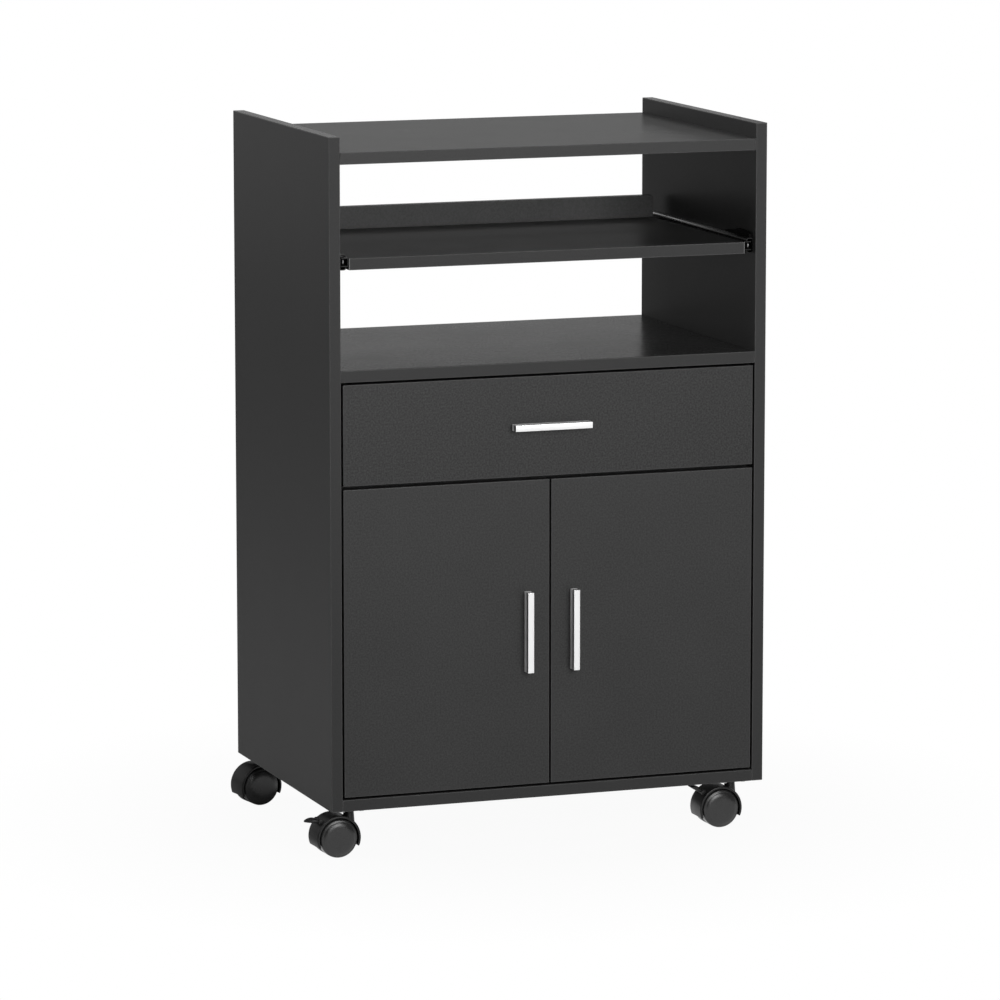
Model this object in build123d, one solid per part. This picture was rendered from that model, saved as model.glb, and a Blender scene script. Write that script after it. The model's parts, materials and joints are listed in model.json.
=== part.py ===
from build123d import *
import os
from collections import namedtuple
from math import cos, radians, sin, sqrt

# Kitchen cart on four casters: an open top between raised side panels, a pull-out shelf on ball slides,
# an open shelf, one drawer, and a cupboard with two doors.
# Millimetres. X runs to the right, the front faces -Y, Z runs up from the floor, and the carcase is centred.

# Overall size
WIDTH = 590.0
DEPTH = 400.0
HEIGHT = 920.0
BOARD = 15.0
EDGE_ROUND = 0.8
OVERRUN = 1.0
SEAT_CLEARANCE = 0.05
RUNNING_CLEARANCE = 0.05

# Bays and fronts, from the top down
TOP_LIP = 20.0
SHELF_BAY = 118.0
LOWER_BAY = 126.0
DRAWER_FRONT_HEIGHT = 128.5
REVEAL = 3.0
FRONT_SPLIT = 4.5
SIDE_REVEAL = 2.5
DOOR_SPLIT = 2.4

# Pull-out shelf
SHELF_DEPTH = 320.0
SHELF_SETBACK = 5.0
STRIP_RISE = 29.0
STRIP_SCREW_SHARES = (0.12, 0.5, 0.88)
SHELF_RUNNER_SCREW_SHARES = (0.1375, 0.4984375, 0.859375)

# Thin boards and the grooves that hold them
BACK_THICKNESS = 3.0
BACK_INSET = 10.0
GROOVE_DEPTH = 5.0
GROOVE_SLACK = 0.5
DIVIDER_CLEARANCE = 2.6

# Drawer box
DRAWER_SIDE = 12.0
DRAWER_LIFT = 14.0
DRAWER_TOP_GAP = 24.5
DRAWER_REAR_GAP = 17.0
DRAWER_BASE = 3.0
DRAWER_BASE_LIFT = 8.0
DRAWER_CAM_SHARES = (0.4, 0.8)
DRAWER_BACK_SCREW_SHARES = (0.2, 0.8)

# Knock-down joints: cam, its bolt and the dowel beside it
CAM_RADIUS_SHARE = 0.5
CAM_DEPTH_SHARE = 0.82
CAM_SETBACK = 24.0
CAM_BOLT_SHARE = 0.23
CAM_NECK_SHARE = 0.13
CAM_HEAD_SHARE = 0.22
CAM_HEAD_LENGTH = 5.0
CAM_THREAD_RADIUS = 2.5
CAM_POCKET_CLEARANCE = 0.3
CAM_INSET = 80.0
DOWEL_PITCH = 32.0
DOWEL_RADIUS = 4.0
DOWEL_IN_BOARD = 20.0
DOWEL_SLACK = 0.5
BITE_SHARE = 0.7

# Ball slides
SLIDE_GAP = 13.0
SLIDE_HEIGHT = 20.0
SLIDE_SHEET = 1.2
SLIDE_SETBACK = 7.0
SLIDE_RAISE = 2.5
SLIDE_CLEARANCE = 0.4
RAIL_FREE = 1.8
RAIL_LIP = 1.6
CAGE_SHEET = 0.7
BALL_RADIUS = 1.5
BALL_CLEARANCE = 0.1
BALLS_PER_ROW = 6
SHELF_SLIDE_LENGTH = 350.0
DRAWER_SLIDE_SETBACK = 3.0
DRAWER_SLIDE_SHORT = 2.0
SLIDE_TRAVEL_SHARE = 0.74
RAIL_SCREW_SHARES = (0.12, 0.5, 0.88)
DRAWER_RUNNER_SCREW_SHARES = (0.12, 0.45, 0.78)

# Screws
SCREW_HEAD = 3.5
SCREW_HEAD_HEIGHT = 2.0
SCREW_SHANK = 1.75
FLAT_HEAD_HEIGHT = 0.8
RUNNER_HEAD = 3.2
RUNNER_HEAD_HEIGHT = 1.2
RUNNER_SCREW_LENGTH = 12.0
BOX_SCREW_LENGTH = 35.0
STRIP_SCREW_LENGTH = 40.0
MACHINE_HEAD = 4.0
MACHINE_HEAD_HEIGHT = 2.3
MACHINE_SHANK = 2.0
RECESS_LENGTH_SHARE = 1.1
RECESS_WIDTH_SHARE = 0.28
RECESS_DEPTH_SHARE = 0.5

# Bar handles: base, narrow neck and front plate
HANDLE_LENGTH = 104.0
HANDLE_WIDTH = 8.0
HANDLE_DEPTH = 14.5
HANDLE_FACE = 2.0
HANDLE_GROOVE = 4.5
HANDLE_NECK = 3.0
HANDLE_ROUND = 0.4
HANDLE_PITCH = 64.0
HANDLE_FROM_EDGE = 30.0
DOOR_HANDLE_RAISE = 2.0
HANDLE_BITE = 5.5

# Door hinges: a cup in the door, a pin, and an arm on a plate on the side panel
HINGE_INSET = 70.0
CUP_RADIUS = 17.5
CUP_WALL = 1.6
CUP_FLOOR = 0.8
CUP_MARGIN = 4.0
CUP_FRONT_WALL = 3.0
FLANGE = 1.5
FLANGE_WIDTH = 20.0
FLANGE_HALF = 30.0
CUP_SCREW_PITCH = 48.0
HINGE_PIN_RADIUS = 1.5
HINGE_PIN_FROM_EDGE = 12.0
ARM_EYE_WALL = 1.4
ARM_EYE_CLEARANCE = 0.3
ARM_SHEET = 3.0
ARM_HEIGHT = 14.0
ARM_HOOK_CLEARANCE = 5.0
ARM_SWEEP_CLEARANCE = 1.2
ARM_LENGTH = 60.0
PLATE_THICKNESS = 3.0
PLATE_LENGTH = 32.0
PLATE_HEIGHT = 44.0
PLATE_FROM_CROSSING = 10.0
PLATE_SCREW_PITCH = 32.0

# Casters: two wheels under a hood that swivels on the plate's kingpin
CASTER_INSET_X = 33.0
CASTER_INSET_Y = 32.0
CASTER_PLATE = 36.0
CASTER_PLATE_THICKNESS = 2.0
CASTER_SCREW_PITCH = 26.0
WHEEL_RADIUS = 25.0
WHEEL_WIDTH = 14.0
WHEEL_DOME = 3.0
WHEEL_EDGE = 1.2
WHEEL_BORE_SHARE = 0.75
WHEEL_GAP = 0.6
TRAIL = 19.0
HOOD_WALL = 3.0
HOOD_GAP = 1.5
HOOD_WEB = 6.0
HOOD_HUB_WALL = 4.0
HOOD_HEADROOM = 6.0
HOOD_DROP_ANGLE = 20.0
AXLE_RADIUS = 3.0
AXLE_END_GAP = 0.5
BARREL_WALL = 2.5
BARREL_FLARE = 1.5
BARREL_FOOT_SHARE = 0.5
SWIVEL_GAP = 0.5
KINGPIN_RADIUS = 4.0
KINGPIN_BITE = 4.0
KINGPIN_END_GAP = 0.5

# Brake lever of the front casters
LEVER_ANGLE = 135.0
LEVER_RADIAL_CLEARANCE = 1.0
LEVER_HUB_WALL = 1.3
LEVER_TRUNNION = 1.5
LEVER_HALF = 8.0
LEVER_SIDE_GAP = 0.4
LEVER_EAR = 2.0
LEVER_EAR_WALL = 2.1
LEVER_REACH = 20.0
LEVER_TIP = 1.6
LEVER_TIP_RISE = 2.2
LEVER_DIP = 1.2
LEVER_CORNER_SHARE = 0.875
LEVER_LOCKED_ANGLE = -3.0
LEVER_FREE_ANGLE = 24.0

# Each caster: side, end, turn of its hood seen from above, and its brake lever's angle if it has one
CASTERS = {
    "front_left": (-1, -1, 2.5, LEVER_LOCKED_ANGLE),
    "front_right": (1, -1, 1.0, LEVER_FREE_ANGLE),
    "rear_left": (-1, 1, 9.0, None),
    "rear_right": (1, 1, 8.0, None),
}

# Heights and places worked out from the sizes above
SIDES = (-1, 1)
FRONT = -DEPTH / 2
REAR = DEPTH / 2
OUTER = WIDTH / 2
INNER = OUTER - BOARD
HOOD_INNER_RADIUS = WHEEL_RADIUS + HOOD_GAP
HOOD_RADIUS = HOOD_INNER_RADIUS + HOOD_WALL
PLATE_UNDER = WHEEL_RADIUS + HOOD_RADIUS + HOOD_HEADROOM
CASTER_HEIGHT = PLATE_UNDER + CASTER_PLATE_THICKNESS
FLOOR_TOP = CASTER_HEIGHT + BOARD
DOOR_FOOT = FLOOR_TOP + REVEAL
TOP_UNDER = HEIGHT - TOP_LIP - BOARD
SHELF_TOP = TOP_UNDER - SHELF_BAY
SHELF_UNDER = SHELF_TOP - BOARD
OPEN_TOP = SHELF_UNDER - LOWER_BAY
OPEN_UNDER = OPEN_TOP - BOARD
DRAWER_FRONT_TOP = OPEN_UNDER - REVEAL
DRAWER_FRONT_FOOT = DRAWER_FRONT_TOP - DRAWER_FRONT_HEIGHT
DOOR_TOP = DRAWER_FRONT_FOOT - FRONT_SPLIT
DIVIDER_UNDER = DRAWER_FRONT_FOOT - FRONT_SPLIT / 2 - BOARD / 2
FRONT_BACK = FRONT + BOARD
BACK_FACE = REAR - BACK_INSET - BACK_THICKNESS

# Pull-out shelf, drawer and their slides
CARRIED = INNER - SLIDE_GAP
SHELF_FRONT = FRONT + SHELF_SETBACK
SHELF_REAR = SHELF_FRONT + SHELF_DEPTH
SHELF_SLIDE_Z = (SHELF_TOP + SHELF_UNDER) / 2 + SLIDE_RAISE
DRAWER_FOOT = DRAWER_FRONT_FOOT + DRAWER_LIFT
DRAWER_TOP = DRAWER_FRONT_TOP - DRAWER_TOP_GAP
DRAWER_REAR = BACK_FACE - DRAWER_REAR_GAP
DRAWER_INNER = CARRIED - DRAWER_SIDE
DRAWER_SLIDE_FRONT = FRONT_BACK + DRAWER_SLIDE_SETBACK
DRAWER_SLIDE_LENGTH = DRAWER_REAR - DRAWER_SLIDE_FRONT - DRAWER_SLIDE_SHORT
CAGE_NEAR = SLIDE_SHEET + FLAT_HEAD_HEIGHT + SLIDE_CLEARANCE
RUNNER_NEAR = CAGE_NEAR + CAGE_SHEET + SLIDE_CLEARANCE
RAIL_REACH = SLIDE_GAP - SLIDE_SHEET - RAIL_FREE
CAGE_FAR = RAIL_REACH - SLIDE_SHEET - SLIDE_CLEARANCE
BALL_PLACE = (CAGE_NEAR + CAGE_SHEET + CAGE_FAR) / 2
RAIL_INNER = SLIDE_HEIGHT / 2 - SLIDE_SHEET
BALL_LEVEL = RAIL_INNER - BALL_CLEARANCE - BALL_RADIUS
RUNNER_HALF = BALL_LEVEL - BALL_RADIUS - BALL_CLEARANCE
SlideSize = namedtuple("SlideSize", "front length z runner_screws")
SHELF_SET = SlideSize(
    FRONT + SLIDE_SETBACK,
    SHELF_SLIDE_LENGTH,
    SHELF_SLIDE_Z,
    [SHELF_FRONT + SHELF_DEPTH * share for share in SHELF_RUNNER_SCREW_SHARES],
)
DRAWER_SET = SlideSize(
    DRAWER_SLIDE_FRONT,
    DRAWER_SLIDE_LENGTH,
    (DRAWER_FOOT + DRAWER_TOP) / 2,
    [DRAWER_SLIDE_FRONT + DRAWER_SLIDE_LENGTH * share for share in DRAWER_RUNNER_SCREW_SHARES],
)

# Door hinges
DOOR_EDGE = INNER - SIDE_REVEAL
CUP_DEPTH = BOARD - CUP_FRONT_WALL
CUP_FROM_EDGE = CUP_RADIUS + CUP_MARGIN
ARM_EYE_RADIUS = HINGE_PIN_RADIUS + ARM_EYE_WALL
HINGE_PIN_FROM_FRONT = CUP_FRONT_WALL + CUP_FLOOR + ARM_EYE_CLEARANCE + ARM_EYE_RADIUS
HINGE_Y = FRONT + HINGE_PIN_FROM_FRONT
HINGE_HEIGHTS = (DOOR_FOOT + HINGE_INSET, DOOR_TOP - HINGE_INSET)
DOOR_SWEEP = sqrt(HINGE_PIN_FROM_EDGE ** 2 + (BOARD - HINGE_PIN_FROM_FRONT) ** 2)
ARM_CROSSING = DOOR_SWEEP + ARM_SWEEP_CLEARANCE
ARM_HOOK = BOARD - HINGE_PIN_FROM_FRONT + ARM_HOOK_CLEARANCE

# Casters
WHEEL_INNER = HOOD_WEB / 2 + WHEEL_GAP
WHEEL_OUTER = WHEEL_INNER + WHEEL_WIDTH
WHEEL_BORE_END = WHEEL_INNER + WHEEL_WIDTH * WHEEL_BORE_SHARE
HOOD_HUB = AXLE_RADIUS + HOOD_HUB_WALL
BARREL_TOP_RADIUS = KINGPIN_RADIUS + BARREL_WALL
BARREL_FOOT_RADIUS = BARREL_TOP_RADIUS + BARREL_FLARE
BARREL_FOOT = WHEEL_RADIUS + HOOD_INNER_RADIUS * BARREL_FOOT_SHARE
KINGPIN_LENGTH = HOOD_HEADROOM + KINGPIN_BITE
LEVER_HUB = LEVER_TRUNNION + LEVER_HUB_WALL
LEVER_EAR_RADIUS = LEVER_TRUNNION + LEVER_EAR_WALL
LEVER_RADIAL = HOOD_RADIUS + LEVER_RADIAL_CLEARANCE
LEVER_X = -TRAIL + LEVER_RADIAL * cos(radians(LEVER_ANGLE))
LEVER_Z = WHEEL_RADIUS + LEVER_RADIAL * sin(radians(LEVER_ANGLE))

# Screws by what they hold, each as long as what it goes through and bites into
ScrewSize = namedtuple("ScrewSize", "head_radius head_height shank length")
BITE = BOARD * BITE_SHARE
RAIL_SCREW = ScrewSize(SCREW_HEAD, FLAT_HEAD_HEIGHT, SCREW_SHANK, SLIDE_SHEET + BITE)
RUNNER_SCREW = ScrewSize(RUNNER_HEAD, RUNNER_HEAD_HEIGHT, SCREW_SHANK, RUNNER_SCREW_LENGTH)
BOX_SCREW = ScrewSize(SCREW_HEAD, SCREW_HEAD_HEIGHT, SCREW_SHANK, BOX_SCREW_LENGTH)
STRIP_SCREW = ScrewSize(SCREW_HEAD, SCREW_HEAD_HEIGHT, SCREW_SHANK, STRIP_SCREW_LENGTH)
CUP_SCREW = ScrewSize(SCREW_HEAD, SCREW_HEAD_HEIGHT, SCREW_SHANK, FLANGE + BITE)
PLATE_SCREW = ScrewSize(SCREW_HEAD, SCREW_HEAD_HEIGHT, SCREW_SHANK, PLATE_THICKNESS + BITE)
CASTER_SCREW = ScrewSize(SCREW_HEAD, SCREW_HEAD_HEIGHT, SCREW_SHANK, CASTER_PLATE_THICKNESS + BITE)
ARM_SCREW = ScrewSize(MACHINE_HEAD, MACHINE_HEAD_HEIGHT, MACHINE_SHANK, ARM_SHEET + PLATE_THICKNESS)
HANDLE_SCREW = ScrewSize(MACHINE_HEAD, MACHINE_HEAD_HEIGHT, MACHINE_SHANK, BOARD + HANDLE_BITE)


# Basic shapes
def block(x_span, y_span, z_span):
    """Box between the low and high values given along each axis."""
    spans = [sorted(span) for span in (x_span, y_span, z_span)]
    middle = [(low + high) / 2 for low, high in spans]
    size = [high - low for low, high in spans]
    return Pos(*middle) * Box(*size)


def board(x_span, y_span, z_span):
    """Board whose edges are rounded as edge banding is."""
    raw = block(x_span, y_span, z_span)
    return fillet(raw.edges(), EDGE_ROUND)


def rod(start, direction, radius, length):
    """Cylinder that begins at a point and runs along a direction."""
    seat = Plane(origin=start, z_dir=direction)
    return seat * Cylinder(radius, length, align=(Align.CENTER, Align.CENTER, Align.MIN))


def shifted(point, direction, distance):
    """Point moved along a direction."""
    return tuple(p + d * distance for p, d in zip(point, direction))


def turned(direction):
    """Opposite direction."""
    return tuple(-d for d in direction)


def fused(pieces):
    """One solid from pieces that touch."""
    whole = pieces[0]
    for piece in pieces[1:]:
        whole = whole + piece
    return whole


def without(shape, cutters):
    """Shape with every cutter taken away."""
    for cutter in cutters:
        shape = shape - cutter
    return shape


def save(name, *pieces):
    """Writes the solids of one named node."""
    solids = [solid for piece in pieces for solid in piece.solids()]
    export_step(Compound(solids), os.path.join("parts", name + ".step"))


# Fasteners
def cross_recess(face_point, outward, radius, depth):
    """Cross-shaped pocket sunk into a round face."""
    seat = Plane(origin=face_point, z_dir=outward)
    length = radius * RECESS_LENGTH_SHARE
    width = radius * RECESS_WIDTH_SHARE
    return seat * (Box(length, width, 2 * depth) + Box(width, length, 2 * depth))


def screw(seat_point, direction, size):
    """Screw whose head rests on seat_point and whose shank runs along direction."""
    outward = turned(direction)
    shank = rod(seat_point, direction, size.shank, size.length)
    head = rod(seat_point, outward, size.head_radius, size.head_height)
    top = shifted(seat_point, outward, size.head_height)
    recess = cross_recess(top, outward, size.head_radius, size.head_height * RECESS_DEPTH_SHARE)
    return shank + head - recess


def screw_hole(seat_point, direction, size):
    """Hole for a screw's shank, open towards the head."""
    start = shifted(seat_point, direction, -OVERRUN)
    return rod(start, direction, size.shank + SEAT_CLEARANCE, size.length + OVERRUN + SEAT_CLEARANCE)


CamJoint = namedtuple("CamJoint", "cam bolt board_cuts panel_cuts")


def cam_joint(end_point, inward, bored_from, thickness):
    """Cam in a board and its bolt in the neighbour; the bolt leaves the board's end at end_point."""
    outward = turned(inward)
    depthward = turned(bored_from)
    radius = thickness * CAM_RADIUS_SHARE
    depth = thickness * CAM_DEPTH_SHARE
    bolt_radius = thickness * CAM_BOLT_SHARE
    head_radius = thickness * CAM_HEAD_SHARE
    head_end = CAM_SETBACK + CAM_HEAD_LENGTH / 2
    collar = CAM_SETBACK - radius
    mouth = shifted(shifted(end_point, inward, CAM_SETBACK), bored_from, thickness / 2)
    pocket = rod(end_point, inward, head_radius + CAM_POCKET_CLEARANCE, head_end + CAM_POCKET_CLEARANCE)
    recess = cross_recess(mouth, bored_from, radius, depth * RECESS_DEPTH_SHARE / 2)
    cam = rod(mouth, depthward, radius - SEAT_CLEARANCE, depth - SEAT_CLEARANCE) - pocket - recess
    bolt = fused([
        rod(end_point, outward, CAM_THREAD_RADIUS, BITE),
        rod(end_point, inward, bolt_radius, collar),
        rod(shifted(end_point, inward, collar), inward, thickness * CAM_NECK_SHARE, head_end - collar),
        rod(shifted(end_point, inward, head_end - CAM_HEAD_LENGTH), inward, head_radius, CAM_HEAD_LENGTH),
    ])
    board_cuts = [
        rod(shifted(mouth, bored_from, OVERRUN), depthward, radius, depth + OVERRUN),
        rod(shifted(end_point, outward, OVERRUN), inward, bolt_radius + SEAT_CLEARANCE, CAM_SETBACK + OVERRUN),
    ]
    hole_start = shifted(end_point, inward, OVERRUN)
    hole = rod(hole_start, outward, CAM_THREAD_RADIUS + SEAT_CLEARANCE, BITE + OVERRUN + SEAT_CLEARANCE)
    return CamJoint(cam, bolt, board_cuts, [hole])


def dowel_joint(end_point, inward):
    """Dowel across a board's end, with its holes in the board and in the panel."""
    outward = turned(inward)
    start = shifted(end_point, outward, BITE)
    length = BITE + DOWEL_IN_BOARD
    dowel = rod(start, inward, DOWEL_RADIUS, length)
    hole_start = shifted(start, outward, DOWEL_SLACK)
    hole = rod(hole_start, inward, DOWEL_RADIUS + SEAT_CLEARANCE, length + 2 * DOWEL_SLACK)
    return dowel, hole


# Carcase
FIXED_BOARDS = {
    "top_board": (TOP_UNDER, FRONT, REAR),
    "open_shelf_board": (OPEN_UNDER, FRONT, REAR),
    "divider_board": (DIVIDER_UNDER, HINGE_Y + DOOR_SWEEP + DIVIDER_CLEARANCE, BACK_FACE - GROOVE_SLACK),
    "bottom_board": (CASTER_HEIGHT, FRONT, REAR),
}


def carcase_joints(under, front, rear):
    """Cam joints and dowels at both ends of one fixed board, as (side, cam joint, dowel, dowel hole)."""
    joints = []
    middle = under + BOARD / 2
    for side in SIDES:
        for y, step in ((front + CAM_INSET, DOWEL_PITCH), (rear - CAM_INSET, -DOWEL_PITCH)):
            inward = (-side, 0, 0)
            cam = cam_joint((side * INNER, y, middle), inward, (0, 0, -1), BOARD)
            dowel, hole = dowel_joint((side * INNER, y + step, middle), inward)
            joints.append((side, cam, dowel, hole))
    return joints


def back_panel_groove():
    """Space of the groove that runs round the back panel."""
    half = INNER + GROOVE_DEPTH
    y_span = (BACK_FACE, BACK_FACE + BACK_THICKNESS)
    return block((-half, half), y_span, (FLOOR_TOP - GROOVE_DEPTH, OPEN_UNDER + GROOVE_DEPTH))


def back_panel():
    """Thin board held in the groove, a little short of its bottom all round."""
    half = INNER + GROOVE_DEPTH - GROOVE_SLACK
    low = FLOOR_TOP - GROOVE_DEPTH + GROOVE_SLACK
    high = OPEN_UNDER + GROOVE_DEPTH - GROOVE_SLACK
    return block((-half, half), (BACK_FACE, BACK_FACE + BACK_THICKNESS), (low, high))


def side_x(side, near, far):
    """X span between two distances measured inwards from a side panel's inner face."""
    return side * (INNER - near), side * (INNER - far)


# Ball slides, measured from the side panel inwards
def rail_screw_seats(slide, side):
    """Seat points, on the rail's web, of the screws that hold a rail on its panel."""
    x = side * (INNER - SLIDE_SHEET)
    return [(x, slide.front + slide.length * share, slide.z) for share in RAIL_SCREW_SHARES]


def runner_screw_seats(slide, side):
    """Seat points, on the runner's web, of the screws that hold a runner on what it carries."""
    x = side * (CARRIED + SLIDE_SHEET)
    return [(x, y, slide.z) for y in slide.runner_screws]


def slide_rail(slide, side):
    """C-shaped rail: web on the panel, two flanges, and a lip on each flange."""
    y_span = (slide.front, slide.front + slide.length)
    half = SLIDE_HEIGHT / 2
    pieces = [block(side_x(side, 0, SLIDE_SHEET), y_span, (slide.z - half, slide.z + half))]
    for up in SIDES:
        flange_z = (slide.z + up * RAIL_INNER, slide.z + up * half)
        lip_z = (slide.z + up * (RAIL_INNER - RAIL_LIP), slide.z + up * half)
        pieces.append(block(side_x(side, 0, RAIL_REACH), y_span, flange_z))
        pieces.append(block(side_x(side, RAIL_REACH - SLIDE_SHEET, RAIL_REACH), y_span, lip_z))
    holes = [screw_hole(seat, (side, 0, 0), RAIL_SCREW) for seat in rail_screw_seats(slide, side)]
    return without(fused(pieces), holes)


def slide_runner(slide, side):
    """Channel inside the rail: web on the carried board, flanges towards the panel."""
    y_span = (slide.front, slide.front + slide.length)
    z_span = (slide.z - RUNNER_HALF, slide.z + RUNNER_HALF)
    pieces = [block(side_x(side, SLIDE_GAP - SLIDE_SHEET, SLIDE_GAP), y_span, z_span)]
    for up in SIDES:
        flange_z = (slide.z + up * (RUNNER_HALF - SLIDE_SHEET), slide.z + up * RUNNER_HALF)
        pieces.append(block(side_x(side, RUNNER_NEAR, SLIDE_GAP), y_span, flange_z))
    holes = [screw_hole(seat, (-side, 0, 0), RUNNER_SCREW) for seat in runner_screw_seats(slide, side)]
    return without(fused(pieces), holes)


def ball_places(slide, side):
    """Centres of the balls in both rows of one cage."""
    cage = slide.length * (1 - SLIDE_TRAVEL_SHARE)
    start = slide.front + (slide.length - cage) / 2
    pitch = cage / BALLS_PER_ROW
    x = side * (INNER - BALL_PLACE)
    rows = [slide.z + up * BALL_LEVEL for up in SIDES]
    return [(x, start + pitch * (step + 1 / 2), z) for z in rows for step in range(BALLS_PER_ROW)]


def ball_cage(slide, side):
    """Cage as long as the slide's overlap when it is fully out, with a hole for each ball."""
    cage = slide.length * (1 - SLIDE_TRAVEL_SHARE)
    start = slide.front + (slide.length - cage) / 2
    y_span = (start, start + cage)
    half = CAGE_SHEET / 2
    z_span = (slide.z - BALL_LEVEL - half, slide.z + BALL_LEVEL + half)
    pieces = [block(side_x(side, CAGE_NEAR, CAGE_NEAR + CAGE_SHEET), y_span, z_span)]
    for up in SIDES:
        level = slide.z + up * BALL_LEVEL
        pieces.append(block(side_x(side, CAGE_NEAR, CAGE_FAR), y_span, (level - half, level + half)))
    holes = [
        rod((x, y, z - BALL_RADIUS), (0, 0, 1), BALL_RADIUS + RUNNING_CLEARANCE, 2 * BALL_RADIUS)
        for x, y, z in ball_places(slide, side)
    ]
    return without(fused(pieces), holes)


def cage_and_balls(slide):
    """Both cages of a pair of slides and all their balls."""
    pieces = []
    for side in SIDES:
        pieces.append(ball_cage(slide, side))
        pieces.extend(Pos(*place) * Sphere(BALL_RADIUS) for place in ball_places(slide, side))
    return pieces


# Bar handles
def handle_holes():
    """Screw holes in the base of a handle that lies along X with its base at Y = 0."""
    radius = HANDLE_SCREW.shank + SEAT_CLEARANCE
    depth = HANDLE_BITE + SEAT_CLEARANCE + OVERRUN
    return [rod((side * HANDLE_PITCH / 2, OVERRUN, 0), (0, -1, 0), radius, depth) for side in SIDES]


def handle():
    """Extruded bar along X: base on the board, neck, and front plate."""
    x_span = (-HANDLE_LENGTH / 2, HANDLE_LENGTH / 2)
    wide = (-HANDLE_WIDTH / 2, HANDLE_WIDTH / 2)
    narrow = (-HANDLE_NECK / 2, HANDLE_NECK / 2)
    plate_y = -(HANDLE_DEPTH - HANDLE_FACE)
    base_y = plate_y + HANDLE_GROOVE
    plate = block(x_span, (-HANDLE_DEPTH, plate_y), wide)
    plate = fillet(plate.edges().filter_by(Axis.X), HANDLE_ROUND)
    bar = block(x_span, (base_y, 0), wide) + block(x_span, (plate_y, base_y), narrow) + plate
    return without(bar, handle_holes())


def handle_screws_and_holes(place):
    """Screws from behind the front board into a handle, and their holes, at the handle's place."""
    seats = [(side * HANDLE_PITCH / 2, BOARD, 0) for side in SIDES]
    screws = [place * screw(seat, (0, -1, 0), HANDLE_SCREW) for seat in seats]
    holes = [place * screw_hole(seat, (0, -1, 0), HANDLE_SCREW) for seat in seats]
    return screws, holes


# Door hinges
def door_x(side, from_edge):
    """X of a point at a distance from a door's outer edge, towards the middle."""
    return side * (DOOR_EDGE - from_edge)


def hinge_cup(side, z):
    """Cup with its flange, pin holes and screw holes."""
    x = door_x(side, CUP_FROM_EDGE)
    mouth = (x, FRONT_BACK, z)
    outer = rod(mouth, (0, -1, 0), CUP_RADIUS - SEAT_CLEARANCE, CUP_DEPTH - SEAT_CLEARANCE)
    flange_x = (x - FLANGE_WIDTH / 2, x + FLANGE_WIDTH / 2)
    flange_y = (FRONT_BACK, FRONT_BACK + FLANGE)
    flange = block(flange_x, flange_y, (z - FLANGE_HALF, z + FLANGE_HALF))
    flange = flange + rod(mouth, (0, 1, 0), CUP_RADIUS + CUP_WALL, FLANGE)
    hollow_start = (x, FRONT_BACK + FLANGE + OVERRUN, z)
    hollow = rod(hollow_start, (0, -1, 0), CUP_RADIUS - CUP_WALL, CUP_DEPTH - CUP_FLOOR + FLANGE + OVERRUN)
    pin_start = (door_x(side, HINGE_PIN_FROM_EDGE), HINGE_Y, z - CUP_RADIUS)
    pin_hole = rod(pin_start, (0, 0, 1), HINGE_PIN_RADIUS + RUNNING_CLEARANCE, 2 * CUP_RADIUS)
    holes = [screw_hole(seat, (0, -1, 0), CUP_SCREW) for seat in cup_screw_seats(side, z)]
    return without(outer + flange, [hollow, pin_hole] + holes)


def cup_screw_seats(side, z):
    """Seat points of a cup's two screws, on its flange."""
    x = door_x(side, CUP_FROM_EDGE)
    return [(x, FRONT_BACK + FLANGE, z + up * CUP_SCREW_PITCH / 2) for up in SIDES]


def hinge_pin(side, z):
    """Pin across the cup, as long as the cup's outer wall lets a round pin turn in it."""
    offset = CUP_FROM_EDGE - HINGE_PIN_FROM_EDGE + HINGE_PIN_RADIUS
    half = sqrt(CUP_RADIUS ** 2 - offset ** 2) - SEAT_CLEARANCE
    return rod((door_x(side, HINGE_PIN_FROM_EDGE), HINGE_Y, z - half), (0, 0, 1), HINGE_PIN_RADIUS, 2 * half)


def hinge_arm(side, z):
    """Hooked arm: eye on the pin, leg inside the cup, crossing behind the door, and leg on the plate."""
    z_span = (z - ARM_HEIGHT / 2, z + ARM_HEIGHT / 2)
    pin_x = door_x(side, HINGE_PIN_FROM_EDGE)
    hook_near = door_x(side, HINGE_PIN_FROM_EDGE + ARM_HOOK)
    hook_far = door_x(side, HINGE_PIN_FROM_EDGE + ARM_HOOK + ARM_SHEET)
    plate_face = side * (INNER - PLATE_THICKNESS)
    leg_face = side * (INNER - PLATE_THICKNESS - ARM_SHEET)
    leg_y = (HINGE_Y - ARM_SHEET / 2, HINGE_Y + ARM_SHEET / 2)
    crossing_y = (HINGE_Y + ARM_CROSSING, HINGE_Y + ARM_CROSSING + ARM_SHEET)
    pieces = [
        rod((pin_x, HINGE_Y, z_span[0]), (0, 0, 1), ARM_EYE_RADIUS, ARM_HEIGHT),
        block((pin_x, hook_far), leg_y, z_span),
        block((hook_near, hook_far), (leg_y[0], crossing_y[1]), z_span),
        block((plate_face, hook_far), crossing_y, z_span),
        block((plate_face, leg_face), (crossing_y[0], crossing_y[0] + ARM_LENGTH), z_span),
    ]
    pin_start = (pin_x, HINGE_Y, z_span[0] - OVERRUN)
    pin_hole = rod(pin_start, (0, 0, 1), HINGE_PIN_RADIUS + SEAT_CLEARANCE, ARM_HEIGHT + 2 * OVERRUN)
    return without(fused(pieces), [pin_hole, screw_hole(arm_screw_seat(side, z), (side, 0, 0), ARM_SCREW)])


def plate_middle_y():
    """Y of the middle of a hinge plate."""
    return HINGE_Y + ARM_CROSSING + PLATE_FROM_CROSSING + PLATE_LENGTH / 2


def arm_screw_seat(side, z):
    """Seat point of the screw that holds a hinge arm on its plate."""
    return side * (INNER - PLATE_THICKNESS - ARM_SHEET), plate_middle_y(), z


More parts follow.
